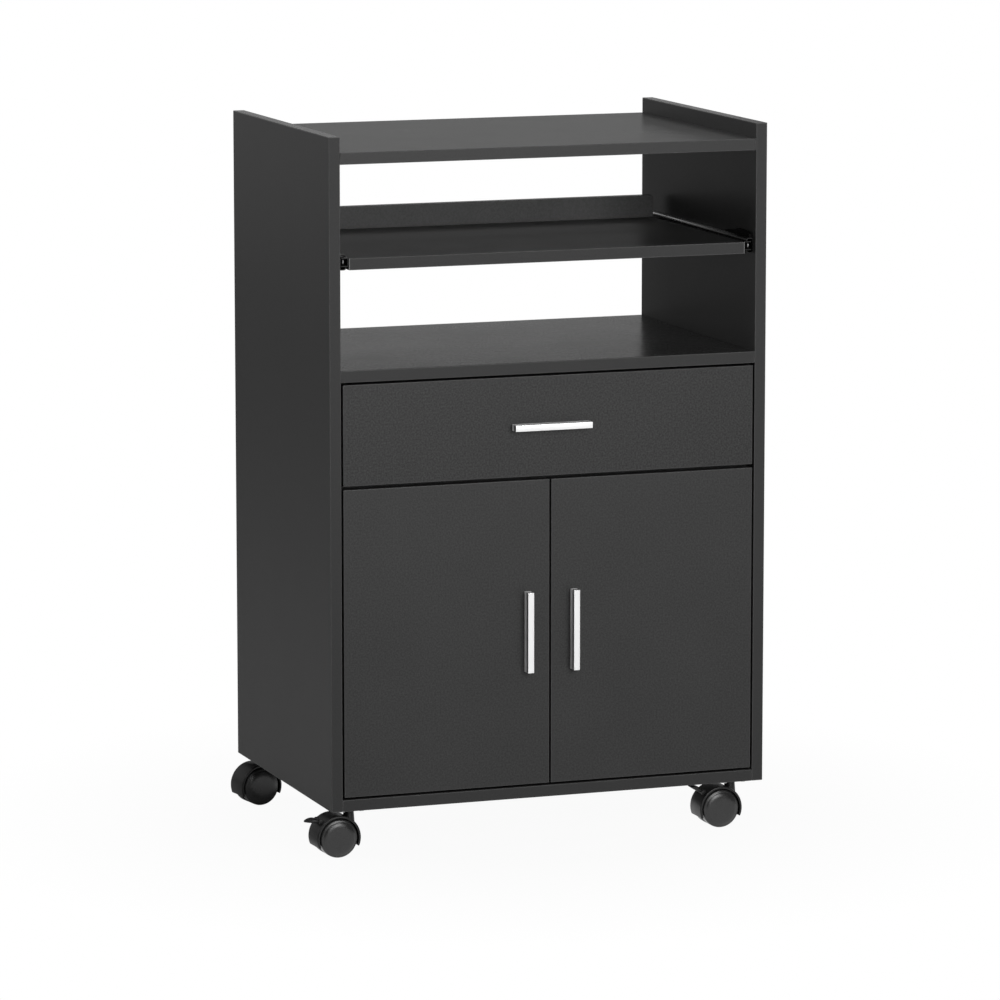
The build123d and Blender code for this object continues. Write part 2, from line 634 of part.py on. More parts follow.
def plate_screw_seats(side, z):
    """Seat points of a hinge plate's two screws."""
    x = side * (INNER - PLATE_THICKNESS)
    return [(x, plate_middle_y(), z + up * PLATE_SCREW_PITCH / 2) for up in SIDES]


def hinge_plate(side, z):
    """Plate on the side panel under a hinge arm."""
    half = PLATE_LENGTH / 2
    y_span = (plate_middle_y() - half, plate_middle_y() + half)
    plate = block(side_x(side, 0, PLATE_THICKNESS), y_span, (z - PLATE_HEIGHT / 2, z + PLATE_HEIGHT / 2))
    holes = [screw_hole(seat, (side, 0, 0), PLATE_SCREW) for seat in plate_screw_seats(side, z)]
    holes.append(screw_hole(arm_screw_seat(side, z), (side, 0, 0), ARM_SCREW))
    return without(plate, holes)


# Casters, drawn with the swivel axis at the origin and the wheels trailing towards -X
def xz_face(*edges):
    """Face from edges drawn in X and Z."""
    return Plane.XZ * make_face(list(edges))


def caster_place(name):
    """Place and turn of a caster in the cart."""
    side, end, turn, _ = CASTERS[name]
    return Pos(side * (OUTER - CASTER_INSET_X), end * (REAR - CASTER_INSET_Y), 0) * Rot(0, 0, turn)


def drum(radius, half_width):
    """Cylinder about the axle, centred between the wheels."""
    return rod((-TRAIL, -half_width, WHEEL_RADIUS), (0, 1, 0), radius, 2 * half_width)


def hood_opening():
    """Wedge below the hood's two lower ends."""
    reach = 2 * HOOD_RADIUS
    rise = reach * sin(radians(HOOD_DROP_ANGLE))
    run = reach * cos(radians(HOOD_DROP_ANGLE))
    points = [
        (-TRAIL, WHEEL_RADIUS),
        (-TRAIL + run, WHEEL_RADIUS - rise),
        (-TRAIL + run, -reach),
        (-TRAIL - run, -reach),
        (-TRAIL - run, WHEEL_RADIUS - rise),
    ]
    return extrude(xz_face(Polyline(*points, close=True)), amount=reach, both=True)


def lever_ears():
    """Ears on the hood that carry the brake lever's trunnions."""
    inner = LEVER_HALF + LEVER_SIDE_GAP
    return [
        rod((LEVER_X, side * inner, LEVER_Z), (0, side, 0), LEVER_EAR_RADIUS, LEVER_EAR)
        for side in SIDES
    ]


def lever_cuts():
    """Window under the brake lever's hub, and the holes for its trunnions."""
    inner = LEVER_HALF + LEVER_SIDE_GAP
    outer = inner + LEVER_EAR + OVERRUN
    window = rod((LEVER_X, -inner, LEVER_Z), (0, 1, 0), LEVER_HUB + HOOD_GAP, 2 * inner)
    holes = rod((LEVER_X, -outer, LEVER_Z), (0, 1, 0), LEVER_TRUNNION + RUNNING_CLEARANCE, 2 * outer)
    return [window, holes]


def caster_hood(has_brake):
    """Hood over both wheels, web between them, hub for the axle, and barrel for the kingpin."""
    barrel_top = PLATE_UNDER - SWIVEL_GAP
    barrel = Pos(0, 0, BARREL_FOOT) * Cone(
        BARREL_FOOT_RADIUS,
        BARREL_TOP_RADIUS,
        barrel_top - BARREL_FOOT,
        align=(Align.CENTER, Align.CENTER, Align.MIN),
    )
    shell = drum(HOOD_RADIUS, WHEEL_OUTER) - hood_opening()
    whole = shell + drum(HOOD_HUB, HOOD_WEB / 2) + barrel
    if has_brake:
        whole = fused([whole] + lever_ears())
    wheel_space = [
        rod((-TRAIL, side * HOOD_WEB / 2, WHEEL_RADIUS), (0, side, 0), HOOD_INNER_RADIUS, WHEEL_OUTER)
        for side in SIDES
    ]
    bore_foot = PLATE_UNDER - KINGPIN_LENGTH - KINGPIN_END_GAP
    bore = rod((0, 0, bore_foot), (0, 0, 1), KINGPIN_RADIUS + RUNNING_CLEARANCE, KINGPIN_LENGTH + OVERRUN)
    axle_hole = drum(AXLE_RADIUS + SEAT_CLEARANCE, HOOD_WEB)
    cuts = wheel_space + [bore, axle_hole]
    if has_brake:
        cuts = cuts + lever_cuts()
    return without(whole, cuts)


def caster_axle():
    """Axle through the web, ending inside both wheels."""
    return drum(AXLE_RADIUS, WHEEL_BORE_END - AXLE_END_GAP)


def caster_wheel(side):
    """Wheel with a tread, a rounded rim, a domed outer face and a blind bore for the axle."""
    bore = AXLE_RADIUS + RUNNING_CLEARANCE
    rim = WHEEL_RADIUS - WHEEL_EDGE
    apex = WHEEL_OUTER + WHEEL_DOME
    sphere_radius = (rim ** 2 + WHEEL_DOME ** 2) / (2 * WHEEL_DOME)
    outline = [
        Polyline((bore, WHEEL_INNER), (WHEEL_RADIUS, WHEEL_INNER), (WHEEL_RADIUS, WHEEL_OUTER - WHEEL_EDGE)),
        RadiusArc((WHEEL_RADIUS, WHEEL_OUTER - WHEEL_EDGE), (rim, WHEEL_OUTER), -WHEEL_EDGE),
        RadiusArc((rim, WHEEL_OUTER), (0, apex), -sphere_radius),
        Polyline((0, apex), (0, WHEEL_BORE_END), (bore, WHEEL_BORE_END), (bore, WHEEL_INNER)),
    ]
    wheel = revolve(make_face(outline), axis=Axis.Y)
    facing = 0 if side > 0 else 180
    return Pos(-TRAIL, 0, WHEEL_RADIUS) * Rot(0, 0, facing) * wheel


def brake_lever(angle):
    """Pedal on two trunnions: a hub and a dished blade with rounded tip corners, raised by an angle."""
    hub = rod((0, -LEVER_HALF, 0), (0, 1, 0), LEVER_HUB, 2 * LEVER_HALF)
    ear_reach = LEVER_HALF + LEVER_SIDE_GAP + LEVER_EAR
    trunnions = rod((0, -ear_reach, 0), (0, 1, 0), LEVER_TRUNNION, 2 * ear_reach)
    top_root = (0, LEVER_HUB)
    foot_root = (0, -LEVER_HUB)
    tip_top = (-LEVER_REACH, LEVER_TIP_RISE)
    tip_foot = (-LEVER_REACH, LEVER_TIP_RISE - LEVER_TIP)
    top_middle = (-LEVER_REACH / 2, (LEVER_HUB + LEVER_TIP_RISE) / 2 - LEVER_DIP)
    foot_middle = (-LEVER_REACH / 2, top_middle[1] - LEVER_HUB + LEVER_TIP / 2)
    side_face = xz_face(
        ThreePointArc(top_root, top_middle, tip_top),
        Line(tip_top, tip_foot),
        ThreePointArc(tip_foot, foot_middle, foot_root),
        Line(foot_root, top_root),
    )
    blade = extrude(side_face, amount=LEVER_HALF, both=True)
    plan = Pos(-LEVER_REACH / 2, 0, 0) * Rectangle(LEVER_REACH, 2 * LEVER_HALF)
    plan = fillet(plan.vertices().group_by(Axis.X)[0], LEVER_HALF * LEVER_CORNER_SHARE)
    blade = blade & extrude(plan, amount=LEVER_REACH, both=True)
    return Pos(LEVER_X, 0, LEVER_Z) * Rot(0, angle, 0) * (hub + trunnions + blade)


def caster_screw_seats(name):
    """Seat points, under the plate, of one caster's four screws."""
    side, end, _, _ = CASTERS[name]
    x = side * (OUTER - CASTER_INSET_X)
    y = end * (REAR - CASTER_INSET_Y)
    half = CASTER_SCREW_PITCH / 2
    return [(x + i * half, y + j * half, PLATE_UNDER) for i in SIDES for j in SIDES]


def caster_plate(name):
    """Square plate with its riveted kingpin."""
    side, end, _, _ = CASTERS[name]
    x = side * (OUTER - CASTER_INSET_X)
    y = end * (REAR - CASTER_INSET_Y)
    half = CASTER_PLATE / 2
    plate = block((x - half, x + half), (y - half, y + half), (PLATE_UNDER, CASTER_HEIGHT))
    holes = [screw_hole(seat, (0, 0, 1), CASTER_SCREW) for seat in caster_screw_seats(name)]
    kingpin = rod((x, y, PLATE_UNDER), (0, 0, -1), KINGPIN_RADIUS, KINGPIN_LENGTH)
    return without(plate, holes) + kingpin


# Assemblies
def build_carcase():
    """Panels, fixed boards, back panel, knock-down joints and the hardware fixed to them."""
    groove = back_panel_groove()
    panels = {}
    for side in SIDES:
        panel = board((side * INNER, side * OUTER), (FRONT, REAR), (CASTER_HEIGHT, HEIGHT))
        panels[side] = panel - groove
    cams = []
    bolts = []
    dowels = []
    boards = {}
    for name, (under, front, rear) in FIXED_BOARDS.items():
        boards[name] = board((-INNER, INNER), (front, rear), (under, under + BOARD)) - groove
        for side, joint, dowel, hole in carcase_joints(under, front, rear):
            cams.append(joint.cam)
            bolts.append(joint.bolt)
            dowels.append(dowel)
            boards[name] = without(boards[name], joint.board_cuts + [hole])
            panels[side] = without(panels[side], joint.panel_cuts + [hole])
    screws = []
    for side in SIDES:
        for slide in (SHELF_SET, DRAWER_SET):
            for seat in rail_screw_seats(slide, side):
                screws.append(screw(seat, (side, 0, 0), RAIL_SCREW))
                panels[side] = panels[side] - screw_hole(seat, (side, 0, 0), RAIL_SCREW)
        for z in HINGE_HEIGHTS:
            screws.append(screw(arm_screw_seat(side, z), (side, 0, 0), ARM_SCREW))
            for seat in plate_screw_seats(side, z):
                screws.append(screw(seat, (side, 0, 0), PLATE_SCREW))
                panels[side] = panels[side] - screw_hole(seat, (side, 0, 0), PLATE_SCREW)
    caster_screws = []
    for name in CASTERS:
        for seat in caster_screw_seats(name):
            caster_screws.append(screw(seat, (0, 0, 1), CASTER_SCREW))
            boards["bottom_board"] = boards["bottom_board"] - screw_hole(seat, (0, 0, 1), CASTER_SCREW)
    save("left_side_panel", panels[-1])
    save("right_side_panel", panels[1])
    for name, piece in boards.items():
        save(name, piece)
    save("back_panel", back_panel())
    save("cam_locks", *cams)
    save("cam_bolts", *bolts)
    save("wood_dowels", *dowels)
    save("shelf_slide_rails", *[slide_rail(SHELF_SET, side) for side in SIDES])
    save("drawer_slide_rails", *[slide_rail(DRAWER_SET, side) for side in SIDES])
    save("hardware_screws", *screws)
    hinges = [(side, z) for side in SIDES for z in HINGE_HEIGHTS]
    save("hinge_plates", *[hinge_plate(side, z) for side, z in hinges])
    save("hinge_arms", *[hinge_arm(side, z) for side, z in hinges])
    save("hinge_pins", *[hinge_pin(side, z) for side, z in hinges])
    save("caster_plates", *[caster_plate(name) for name in CASTERS])
    save("caster_screws", *caster_screws)


def build_shelf():
    """Pull-out shelf, the strip behind it, its runners and its ball cages."""
    shelf = board((-CARRIED, CARRIED), (SHELF_FRONT, SHELF_REAR), (SHELF_UNDER, SHELF_TOP))
    strip_rear = SHELF_REAR + BOARD
    strip = board((-CARRIED, CARRIED), (SHELF_REAR, strip_rear), (SHELF_UNDER, SHELF_TOP + STRIP_RISE))
    screws = []
    for share in STRIP_SCREW_SHARES:
        seat = (-CARRIED + 2 * CARRIED * share, strip_rear, (SHELF_TOP + SHELF_UNDER) / 2)
        screws.append(screw(seat, (0, -1, 0), STRIP_SCREW))
        hole = screw_hole(seat, (0, -1, 0), STRIP_SCREW)
        shelf = shelf - hole
        strip = strip - hole
    for side in SIDES:
        for seat in runner_screw_seats(SHELF_SET, side):
            screws.append(screw(seat, (-side, 0, 0), RUNNER_SCREW))
            shelf = shelf - screw_hole(seat, (-side, 0, 0), RUNNER_SCREW)
    save("pull_out_shelf", shelf)
    save("shelf_back_strip", strip)
    save("shelf_slide_runners", *[slide_runner(SHELF_SET, side) for side in SIDES])
    save("shelf_screws", *screws)
    save("shelf_ball_cages", *cage_and_balls(SHELF_SET))


def build_drawer():
    """Drawer front, box, handle, runners, fasteners and ball cages."""
    front = board((-DOOR_EDGE, DOOR_EDGE), (FRONT, FRONT_BACK), (DRAWER_FRONT_FOOT, DRAWER_FRONT_TOP))
    z_span = (DRAWER_FOOT, DRAWER_TOP)
    height = DRAWER_TOP - DRAWER_FOOT
    sides = {}
    back_front = DRAWER_REAR - DRAWER_SIDE
    back = block((-DRAWER_INNER, DRAWER_INNER), (back_front, DRAWER_REAR), z_span)
    base_z = (DRAWER_FOOT + DRAWER_BASE_LIFT, DRAWER_FOOT + DRAWER_BASE_LIFT + DRAWER_BASE)
    half = DRAWER_INNER + GROOVE_DEPTH
    groove = block((-half, half), (FRONT_BACK - GROOVE_DEPTH, back_front + GROOVE_DEPTH), base_z)
    base_half = half - GROOVE_SLACK
    base_y = (FRONT_BACK - GROOVE_DEPTH + GROOVE_SLACK, back_front + GROOVE_DEPTH - GROOVE_SLACK)
    base = block((-base_half, base_half), base_y, base_z)
    cams = []
    bolts = []
    screws = []
    for side in SIDES:
        panel = block((side * DRAWER_INNER, side * CARRIED), (FRONT_BACK, DRAWER_REAR), z_span) - groove
        for share in DRAWER_CAM_SHARES:
            end = (side * (DRAWER_INNER + CARRIED) / 2, FRONT_BACK, DRAWER_FOOT + height * share)
            joint = cam_joint(end, (0, 1, 0), (-side, 0, 0), DRAWER_SIDE)
            cams.append(joint.cam)
            bolts.append(joint.bolt)
            panel = without(panel, joint.board_cuts)
            front = without(front, joint.panel_cuts)
        for share in DRAWER_BACK_SCREW_SHARES:
            seat = (side * CARRIED, DRAWER_REAR - DRAWER_SIDE / 2, DRAWER_FOOT + height * share)
            screws.append(screw(seat, (-side, 0, 0), BOX_SCREW))
            hole = screw_hole(seat, (-side, 0, 0), BOX_SCREW)
            panel = panel - hole
            back = back - hole
        for seat in runner_screw_seats(DRAWER_SET, side):
            screws.append(screw(seat, (-side, 0, 0), RUNNER_SCREW))
            panel = panel - screw_hole(seat, (-side, 0, 0), RUNNER_SCREW)
        sides[side] = panel
    place = Pos(0, FRONT, (DRAWER_FRONT_FOOT + DRAWER_FRONT_TOP) / 2)
    handle_screws, handle_cuts = handle_screws_and_holes(place)
    save("drawer_front", without(front - groove, handle_cuts))
    save("drawer_left_side", sides[-1])
    save("drawer_right_side", sides[1])
    save("drawer_back", back - groove)
    save("drawer_bottom", base)
    save("drawer_handle", place * handle())
    save("drawer_slide_runners", *[slide_runner(DRAWER_SET, side) for side in SIDES])
    save("drawer_screws", *screws, *handle_screws)
    save("drawer_cam_locks", *cams)
    save("drawer_cam_bolts", *bolts)
    save("drawer_ball_cages", *cage_and_balls(DRAWER_SET))


def build_door(name, side):
    """One door with its upright handle, its two hinge cups and their screws."""
    door = board((side * DOOR_SPLIT / 2, side * DOOR_EDGE), (FRONT, FRONT_BACK), (DOOR_FOOT, DOOR_TOP))
    handle_x = side * (DOOR_SPLIT / 2 + HANDLE_FROM_EDGE)
    handle_z = (DOOR_FOOT + DOOR_TOP) / 2 + DOOR_HANDLE_RAISE
    place = Pos(handle_x, FRONT, handle_z) * Rot(0, 90, 0)
    screws, cuts = handle_screws_and_holes(place)
    for z in HINGE_HEIGHTS:
        mouth = (door_x(side, CUP_FROM_EDGE), FRONT_BACK + OVERRUN, z)
        cuts.append(rod(mouth, (0, -1, 0), CUP_RADIUS, CUP_DEPTH + OVERRUN))
        for seat in cup_screw_seats(side, z):
            screws.append(screw(seat, (0, -1, 0), CUP_SCREW))
            cuts.append(screw_hole(seat, (0, -1, 0), CUP_SCREW))
    save(name + "_door", without(door, cuts))
    save(name + "_door_handle", place * handle())
    save(name + "_hinge_cups", *[hinge_cup(side, z) for z in HINGE_HEIGHTS])
    save(name + "_door_screws", *screws)


def build_caster(name):
    """One caster: hood, axle, two wheels, and a brake lever on a front caster."""
    _, _, _, lever_angle = CASTERS[name]
    place = caster_place(name)
    save(name + "_hood", place * caster_hood(lever_angle is not None))
    save(name + "_axle", place * caster_axle())
    save(name + "_near_wheel", place * caster_wheel(-1))
    save(name + "_far_wheel", place * caster_wheel(1))
    if lever_angle is not None:
        save(name + "_brake_lever", place * brake_lever(lever_angle))


os.makedirs("parts", exist_ok=True)
build_carcase()
build_shelf()
build_drawer()
build_door("left", -1)
build_door("right", 1)
for caster_name in CASTERS:
    build_caster(caster_name)
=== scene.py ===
import json
import math

import bmesh
import bpy
import numpy as np
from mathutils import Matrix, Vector


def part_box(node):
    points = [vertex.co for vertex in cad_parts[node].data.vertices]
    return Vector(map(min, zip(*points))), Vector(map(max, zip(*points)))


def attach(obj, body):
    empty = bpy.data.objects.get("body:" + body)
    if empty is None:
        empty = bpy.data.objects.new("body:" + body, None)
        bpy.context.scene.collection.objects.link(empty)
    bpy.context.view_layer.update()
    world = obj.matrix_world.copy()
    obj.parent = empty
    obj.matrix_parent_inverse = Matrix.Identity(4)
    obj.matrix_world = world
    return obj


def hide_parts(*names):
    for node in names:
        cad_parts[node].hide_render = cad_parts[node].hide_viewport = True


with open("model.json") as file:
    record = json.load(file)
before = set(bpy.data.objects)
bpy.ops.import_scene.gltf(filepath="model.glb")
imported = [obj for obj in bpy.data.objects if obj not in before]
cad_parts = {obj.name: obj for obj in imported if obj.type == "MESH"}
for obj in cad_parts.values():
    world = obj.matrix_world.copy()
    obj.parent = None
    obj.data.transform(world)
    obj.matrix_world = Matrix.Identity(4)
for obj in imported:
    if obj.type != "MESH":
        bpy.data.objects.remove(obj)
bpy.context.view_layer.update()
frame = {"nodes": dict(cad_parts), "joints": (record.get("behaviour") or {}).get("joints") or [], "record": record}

# Kitchen cart: finishes for its boards and fittings, and forms for its handles, shelf slides and casters.
# Metres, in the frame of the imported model: X to the right, the front towards -Y, Z up from the floor.
NODES = frame["nodes"]
JOINTS = {joint["name"]: joint for joint in frame["joints"]}
SLOT_OF_NODE = {row["node"]: row["material_slot"] for row in frame["record"]["subparts"]}


# Shader building
class Wire:
    """An output socket; arithmetic on it adds Math nodes, with a plain number on either side."""

    def __init__(self, finish, socket):
        self.finish = finish
        self.socket = socket

    def math(self, operation, first, second=0.0):
        """One Math node."""
        return self.finish.node("ShaderNodeMath", {"operation": operation}, {0: first, 1: second})

    def __abs__(self):
        return self.math("ABSOLUTE", self)

    def __add__(self, other):
        return self.math("ADD", self, other)

    def __sub__(self, other):
        return self.math("SUBTRACT", self, other)

    def __rsub__(self, other):
        return self.math("SUBTRACT", other, self)

    def __mul__(self, other):
        return self.math("MULTIPLY", self, other)

    def greater(self, other):
        """The greater of two numbers."""
        return self.math("MAXIMUM", self, other)

    __radd__ = __add__
    __rmul__ = __mul__


class Finish:
    """A material or a world whose nodes are added one by one and end in an output."""

    def __init__(self, name, kind="materials"):
        self.owner = getattr(bpy.data, kind).new(name)
        self.owner.use_nodes = True
        self.tree = self.owner.node_tree
        self.tree.nodes.clear()

    def node(self, kind, settings=None, sockets=None, output=0):
        """Adds a node of some kind: its settings first, then the values or links of its sockets."""
        made = self.tree.nodes.new(kind)
        for name, value in (settings or {}).items():
            if name == "stops":
                self.set_stops(made.color_ramp, value)
            else:
                setattr(made, name, value)
        for name, value in (sockets or {}).items():
            if isinstance(value, Wire):
                self.tree.links.new(value.socket, made.inputs[name])
            else:
                made.inputs[name].default_value = value
        return Wire(self, made.outputs[output]) if made.outputs else None

    def set_stops(self, ramp, stops):
        """Gives a colour ramp its stops, as (place, grey) pairs."""
        while len(ramp.elements) < len(stops):
            ramp.elements.new(1.0)
        for element, (place, level) in zip(ramp.elements, stops):
            element.position = place
            element.color = grey(level)

    def place(self, stretch=(1.0, 1.0, 1.0)):
        """Object coordinates in metres, stretched along the axes."""
        coordinates = self.node("ShaderNodeTexCoord", output="Object")
        return self.node("ShaderNodeMapping", None, {"Vector": coordinates, "Scale": stretch})

    def along(self, place, axis):
        """One coordinate of a place."""
        return self.node("ShaderNodeSeparateXYZ", None, {0: place}, output=axis)

    def noise(self, place, scale, detail, roughness):
        """Noise from 0 to 1, with so many features to the metre."""
        sockets = {"Vector": place, "Scale": scale, "Detail": detail, "Roughness": roughness}
        return self.node("ShaderNodeTexNoise", None, sockets)

    def cells(self, place, scale):
        """Distance to the nearest point of a scatter, with so many points to the metre."""
        return self.node("ShaderNodeTexVoronoi", None, {"Vector": place, "Scale": scale})

    def ramp(self, factor, stops):
        """Grey ramp over a factor, as a number."""
        return self.node("ShaderNodeValToRGB", {"stops": stops}, {"Fac": factor})

    def mix(self, factor, first, second):
        """Colour between two colours."""
        sockets = {0: factor, 6: first, 7: second}
        return self.node("ShaderNodeMix", {"data_type": "RGBA"}, sockets, output=2)

    def bump(self, height, distance):
        """Normal tilted by a height that is a share of some distance."""
        return self.node("ShaderNodeBump", None, {"Height": height, "Distance": distance})

    def fade(self, value, start, end, first=0.0, last=1.0):
        """Number that goes from first to last as a value goes from start to end, and stays there."""
        sockets = {"Value": value, "From Min": start, "From Max": end, "To Min": first, "To Max": last}
        return self.node("ShaderNodeMapRange", None, sockets)

    def nearness(self, place, box, axis):
        """Number that is 1 at both ends of a box along one axis, and 0 from a band's width inwards."""
        low, high = box[0][axis], box[1][axis]
        half = (high - low) / 2
        away = abs(self.along(place, axis) - (low + high) / 2)
        return self.fade(away, half - BAND_WIDTH, half - BAND_WIDTH * BAND_FULL_SHARE)

    def surface(self, **sockets):
        """Ends the finish in one surface shader; underscores in the names stand for spaces."""
        named = {name.replace("_", " "): value for name, value in sockets.items()}
        shader = self.node("ShaderNodeBsdfPrincipled", None, named)
        self.node("ShaderNodeOutputMaterial", None, {"Surface": shader})
        return self.owner


def grey(level, tint=0.0):
    """Opaque colour of one level, a little bluer with tint."""
    return (level, level, level * (1.0 + tint), 1.0)


def shades(level, shares):
    """Opaque greys at two shares of one level."""
    return [grey(level * share) for share in shares]


def blend(first, second, share):
    """Number made of two numbers, with some share of the second."""
    return first * (1.0 - share) + second * share


# Charcoal foil on the boards. A noise has its features to the metre, its octaves and their roughness.
BAND_WIDTH = 0.0013
BAND_FULL_SHARE = 0.3
BAND_LEVEL = 0.026
BAND_SHADES = (0.65, 1.35)
BAND_DULLING = 0.22
# Painted highlight: the top band of a side panel is painted lighter
TOP_BAND_HIGHLIGHT_LEVEL = 0.12
TOP_BAND_HIGHLIGHT_SHARE = 0.8
TOP_BAND_POLISH = 0.12
# Painted highlights: pale lines along the board edges, brighter ones at the ends of the pull-out shelf
EDGE_HIGHLIGHT_LEVEL = 0.10
EDGE_HIGHLIGHT_SPAN = (1.0, 2.0)
END_HIGHLIGHT_LEVEL = 0.28
FOIL_SHADES = (0.55, 1.45)
FOIL_PEBBLES = 620.0
FOIL_GRAIN = (900.0, 3.0, 0.65)
FOIL_DRIFT = (9.0, 3.0, 0.55)
FOIL_FLECKS = (420.0, 2.0, 0.6)
FLECK_STOPS = ((0.34, 0.0), (0.66, 1.0))
FOIL_MIDDLE = 0.5
FOIL_DRIFT_SHARE = 0.30
FOIL_GRAIN_SHARE = 0.20
FOIL_GRAIN_DULLING = 0.08
FOIL_DRIFT_DULLING = 0.06
FOIL_GRAIN_RELIEF = 0.4


def charcoal_foil(node, level, speckle, pebble_depth, roughness, specular, line_share, end_share):
    """Charcoal foil on one board: pebbles, speckle, drifts of tone, edge bands, and painted highlights.

    A painted highlight line lies where the board is near its ends along two axes at once, and a
    brighter painted highlight at its ends where these two are its width and depth. On a side panel
    the top band is painted lighter, as a painted highlight.
    """
    finish = Finish(node + "_foil")
    place = finish.place()
    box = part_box(node)
    thin = int(np.argmin(np.subtract(box[1], box[0])))
    near = [finish.nearness(place, box, axis) for axis in range(3)]
    # mask of the painted highlight lines along the edges
    line = finish.fade(near[0] + near[1] + near[2], *EDGE_HIGHLIGHT_SPAN)
    front_band = near[1] if thin != 1 else 0.0
    top_band = near[2] if thin != 2 else 0.0
    pebbles = finish.cells(place, FOIL_PEBBLES)
    grain = finish.noise(place, *FOIL_GRAIN)
    drift = finish.noise(place, *FOIL_DRIFT)
    fleck = finish.ramp(finish.noise(place, *FOIL_FLECKS), FLECK_STOPS)
    tone = (fleck - FOIL_MIDDLE) * speckle + (drift - FOIL_MIDDLE) * FOIL_DRIFT_SHARE
    tone = tone + (grain - FOIL_MIDDLE) * FOIL_GRAIN_SHARE + FOIL_MIDDLE
    foil = finish.mix(tone, *shades(level, FOIL_SHADES))
    banding = finish.mix(tone, *shades(BAND_LEVEL, BAND_SHADES))
    foil = finish.mix(front_band, foil, banding)
    # painted highlight: lighter colour on the top band of a side panel
    if thin == 0:
        foil = finish.mix(top_band * TOP_BAND_HIGHLIGHT_SHARE, foil, grey(TOP_BAND_HIGHLIGHT_LEVEL))
    # painted highlight: pale colour along the edges
    foil = finish.mix(line * line_share, foil, grey(EDGE_HIGHLIGHT_LEVEL))
    dull = grain * FOIL_GRAIN_DULLING + drift * FOIL_DRIFT_DULLING + roughness
    return finish.surface(
        # painted highlight: a brighter pale colour on the end corners
        Base_Color=finish.mix(near[0] * front_band * end_share, foil, grey(END_HIGHLIGHT_LEVEL)),
        Roughness=dull + front_band * BAND_DULLING - top_band * TOP_BAND_POLISH,
        Specular_IOR_Level=specular,
        Normal=finish.bump(blend(pebbles, grain, FOIL_GRAIN_RELIEF), pebble_depth),
    )


# Smooth foil on the back panel and the drawer's boards
THIN_GRAIN = (450.0, 4.0, 0.6)
THIN_DRIFT = (7.0, 2.0, 0.5)
THIN_DRIFT_SHARE = 0.5
THIN_SHADES = (0.75, 1.25)
THIN_ROUGHNESS = 0.5
THIN_DULLING = 0.12
THIN_SPECULAR = 0.3
THIN_RELIEF = 0.00006


def plain_foil(name, level):
    """Smooth dark foil on thin board."""
    finish = Finish(name)
    place = finish.place()
    grain = finish.noise(place, *THIN_GRAIN)
    drift = finish.noise(place, *THIN_DRIFT)
    return finish.surface(
        Base_Color=finish.mix(blend(grain, drift, THIN_DRIFT_SHARE), *shades(level, THIN_SHADES)),
        Roughness=grain * THIN_DULLING + THIN_ROUGHNESS,
        Specular_IOR_Level=THIN_SPECULAR,
        Normal=finish.bump(grain, THIN_RELIEF),
    )


# Bright metal of the bar handles; the hollow behind the plate lies between two shares of their depth,
# and a dark band of painted shade fills it
HANDLE_GROOVE_SHARES = (0.552, 0.862)
GROOVE_SHADE_SPREAD = 0.0005
GROOVE_SHADE_BLUR = 0.0001
GROOVE_SHADE_LEVEL = 0.12
LEVEL_HAIRLINES = (0.03, 1.0, 1.0)
UPRIGHT_HAIRLINES = (1.0, 1.0, 0.03)
BAR_LINES = (3000.0, 3.0, 0.7)
BAR_CLOUD = (60.0, 2.0, 0.5)
BAR_CLOUD_SHARE = 0.4
BAR_LEVELS = (0.92, 0.99)
BAR_METALLIC = (0.1, 0.5)
BAR_ROUGHNESS = 0.14
BAR_LINE_DULLING = 0.12
BAR_CLOUD_DULLING = 0.05
BAR_RELIEF = 0.000012


def bright_bar(name, stretch):
    """Bright drawn metal: hairlines along the bar, faint clouding, and painted shade behind the plate."""
    finish = Finish(name)
    place = finish.place()
    lines = finish.noise(finish.place(stretch), *BAR_LINES)
    cloud = finish.noise(place, *BAR_CLOUD)
    low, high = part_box("drawer_handle")
    base, plate = (high[1] - (high[1] - low[1]) * share for share in HANDLE_GROOVE_SHARES)
    base = base + GROOVE_SHADE_SPREAD
    half = (base - plate) / 2
    out = finish.along(place, 1)
    away = abs(out - (base + plate) / 2)
    # painted shade: dark colour in the hollow between the base and the plate
    groove_shade = finish.fade(away, half - GROOVE_SHADE_BLUR, half + GROOVE_SHADE_BLUR, 1.0, 0.0)
    metal = finish.mix(blend(lines, cloud, BAR_CLOUD_SHARE), *shades(1.0, BAR_LEVELS))
    return finish.surface(
        Base_Color=finish.mix(groove_shade, metal, grey(GROOVE_SHADE_LEVEL)),
        Metallic=finish.fade(out, base, plate, *BAR_METALLIC),
        Roughness=lines * BAR_LINE_DULLING + cloud * BAR_CLOUD_DULLING + BAR_ROUGHNESS,
        Normal=finish.bump(lines, BAR_RELIEF),
    )


# Plated steel of screws, hinges, ball cages, caster plates and runner noses
PLATING_SPANGLE = 420.0
PLATING_CLOUD = (120.0, 3.0, 0.6)
PLATING_CLOUD_SHARE = 0.5
PLATING_SHADES = (0.85, 1.12)
PLATING_TINT = 0.03
PLATING_DULLING = 0.18
PLATING_RELIEF = 0.00002


def plated_steel(name, level, roughness):
    """Zinc or nickel plating: fine spangle and a little dulling."""
    finish = Finish(name)
    place = finish.place()
    spangle = finish.cells(place, PLATING_SPANGLE)
    cloud = finish.noise(place, *PLATING_CLOUD)
    dark, pale = (level * share for share in PLATING_SHADES)
    tone = blend(spangle, cloud, PLATING_CLOUD_SHARE)
    return finish.surface(
        Base_Color=finish.mix(tone, grey(dark, PLATING_TINT), grey(pale)),
        Metallic=1.0,
        Roughness=cloud * PLATING_DULLING + roughness,
        Normal=finish.bump(cloud, PLATING_RELIEF),
    )


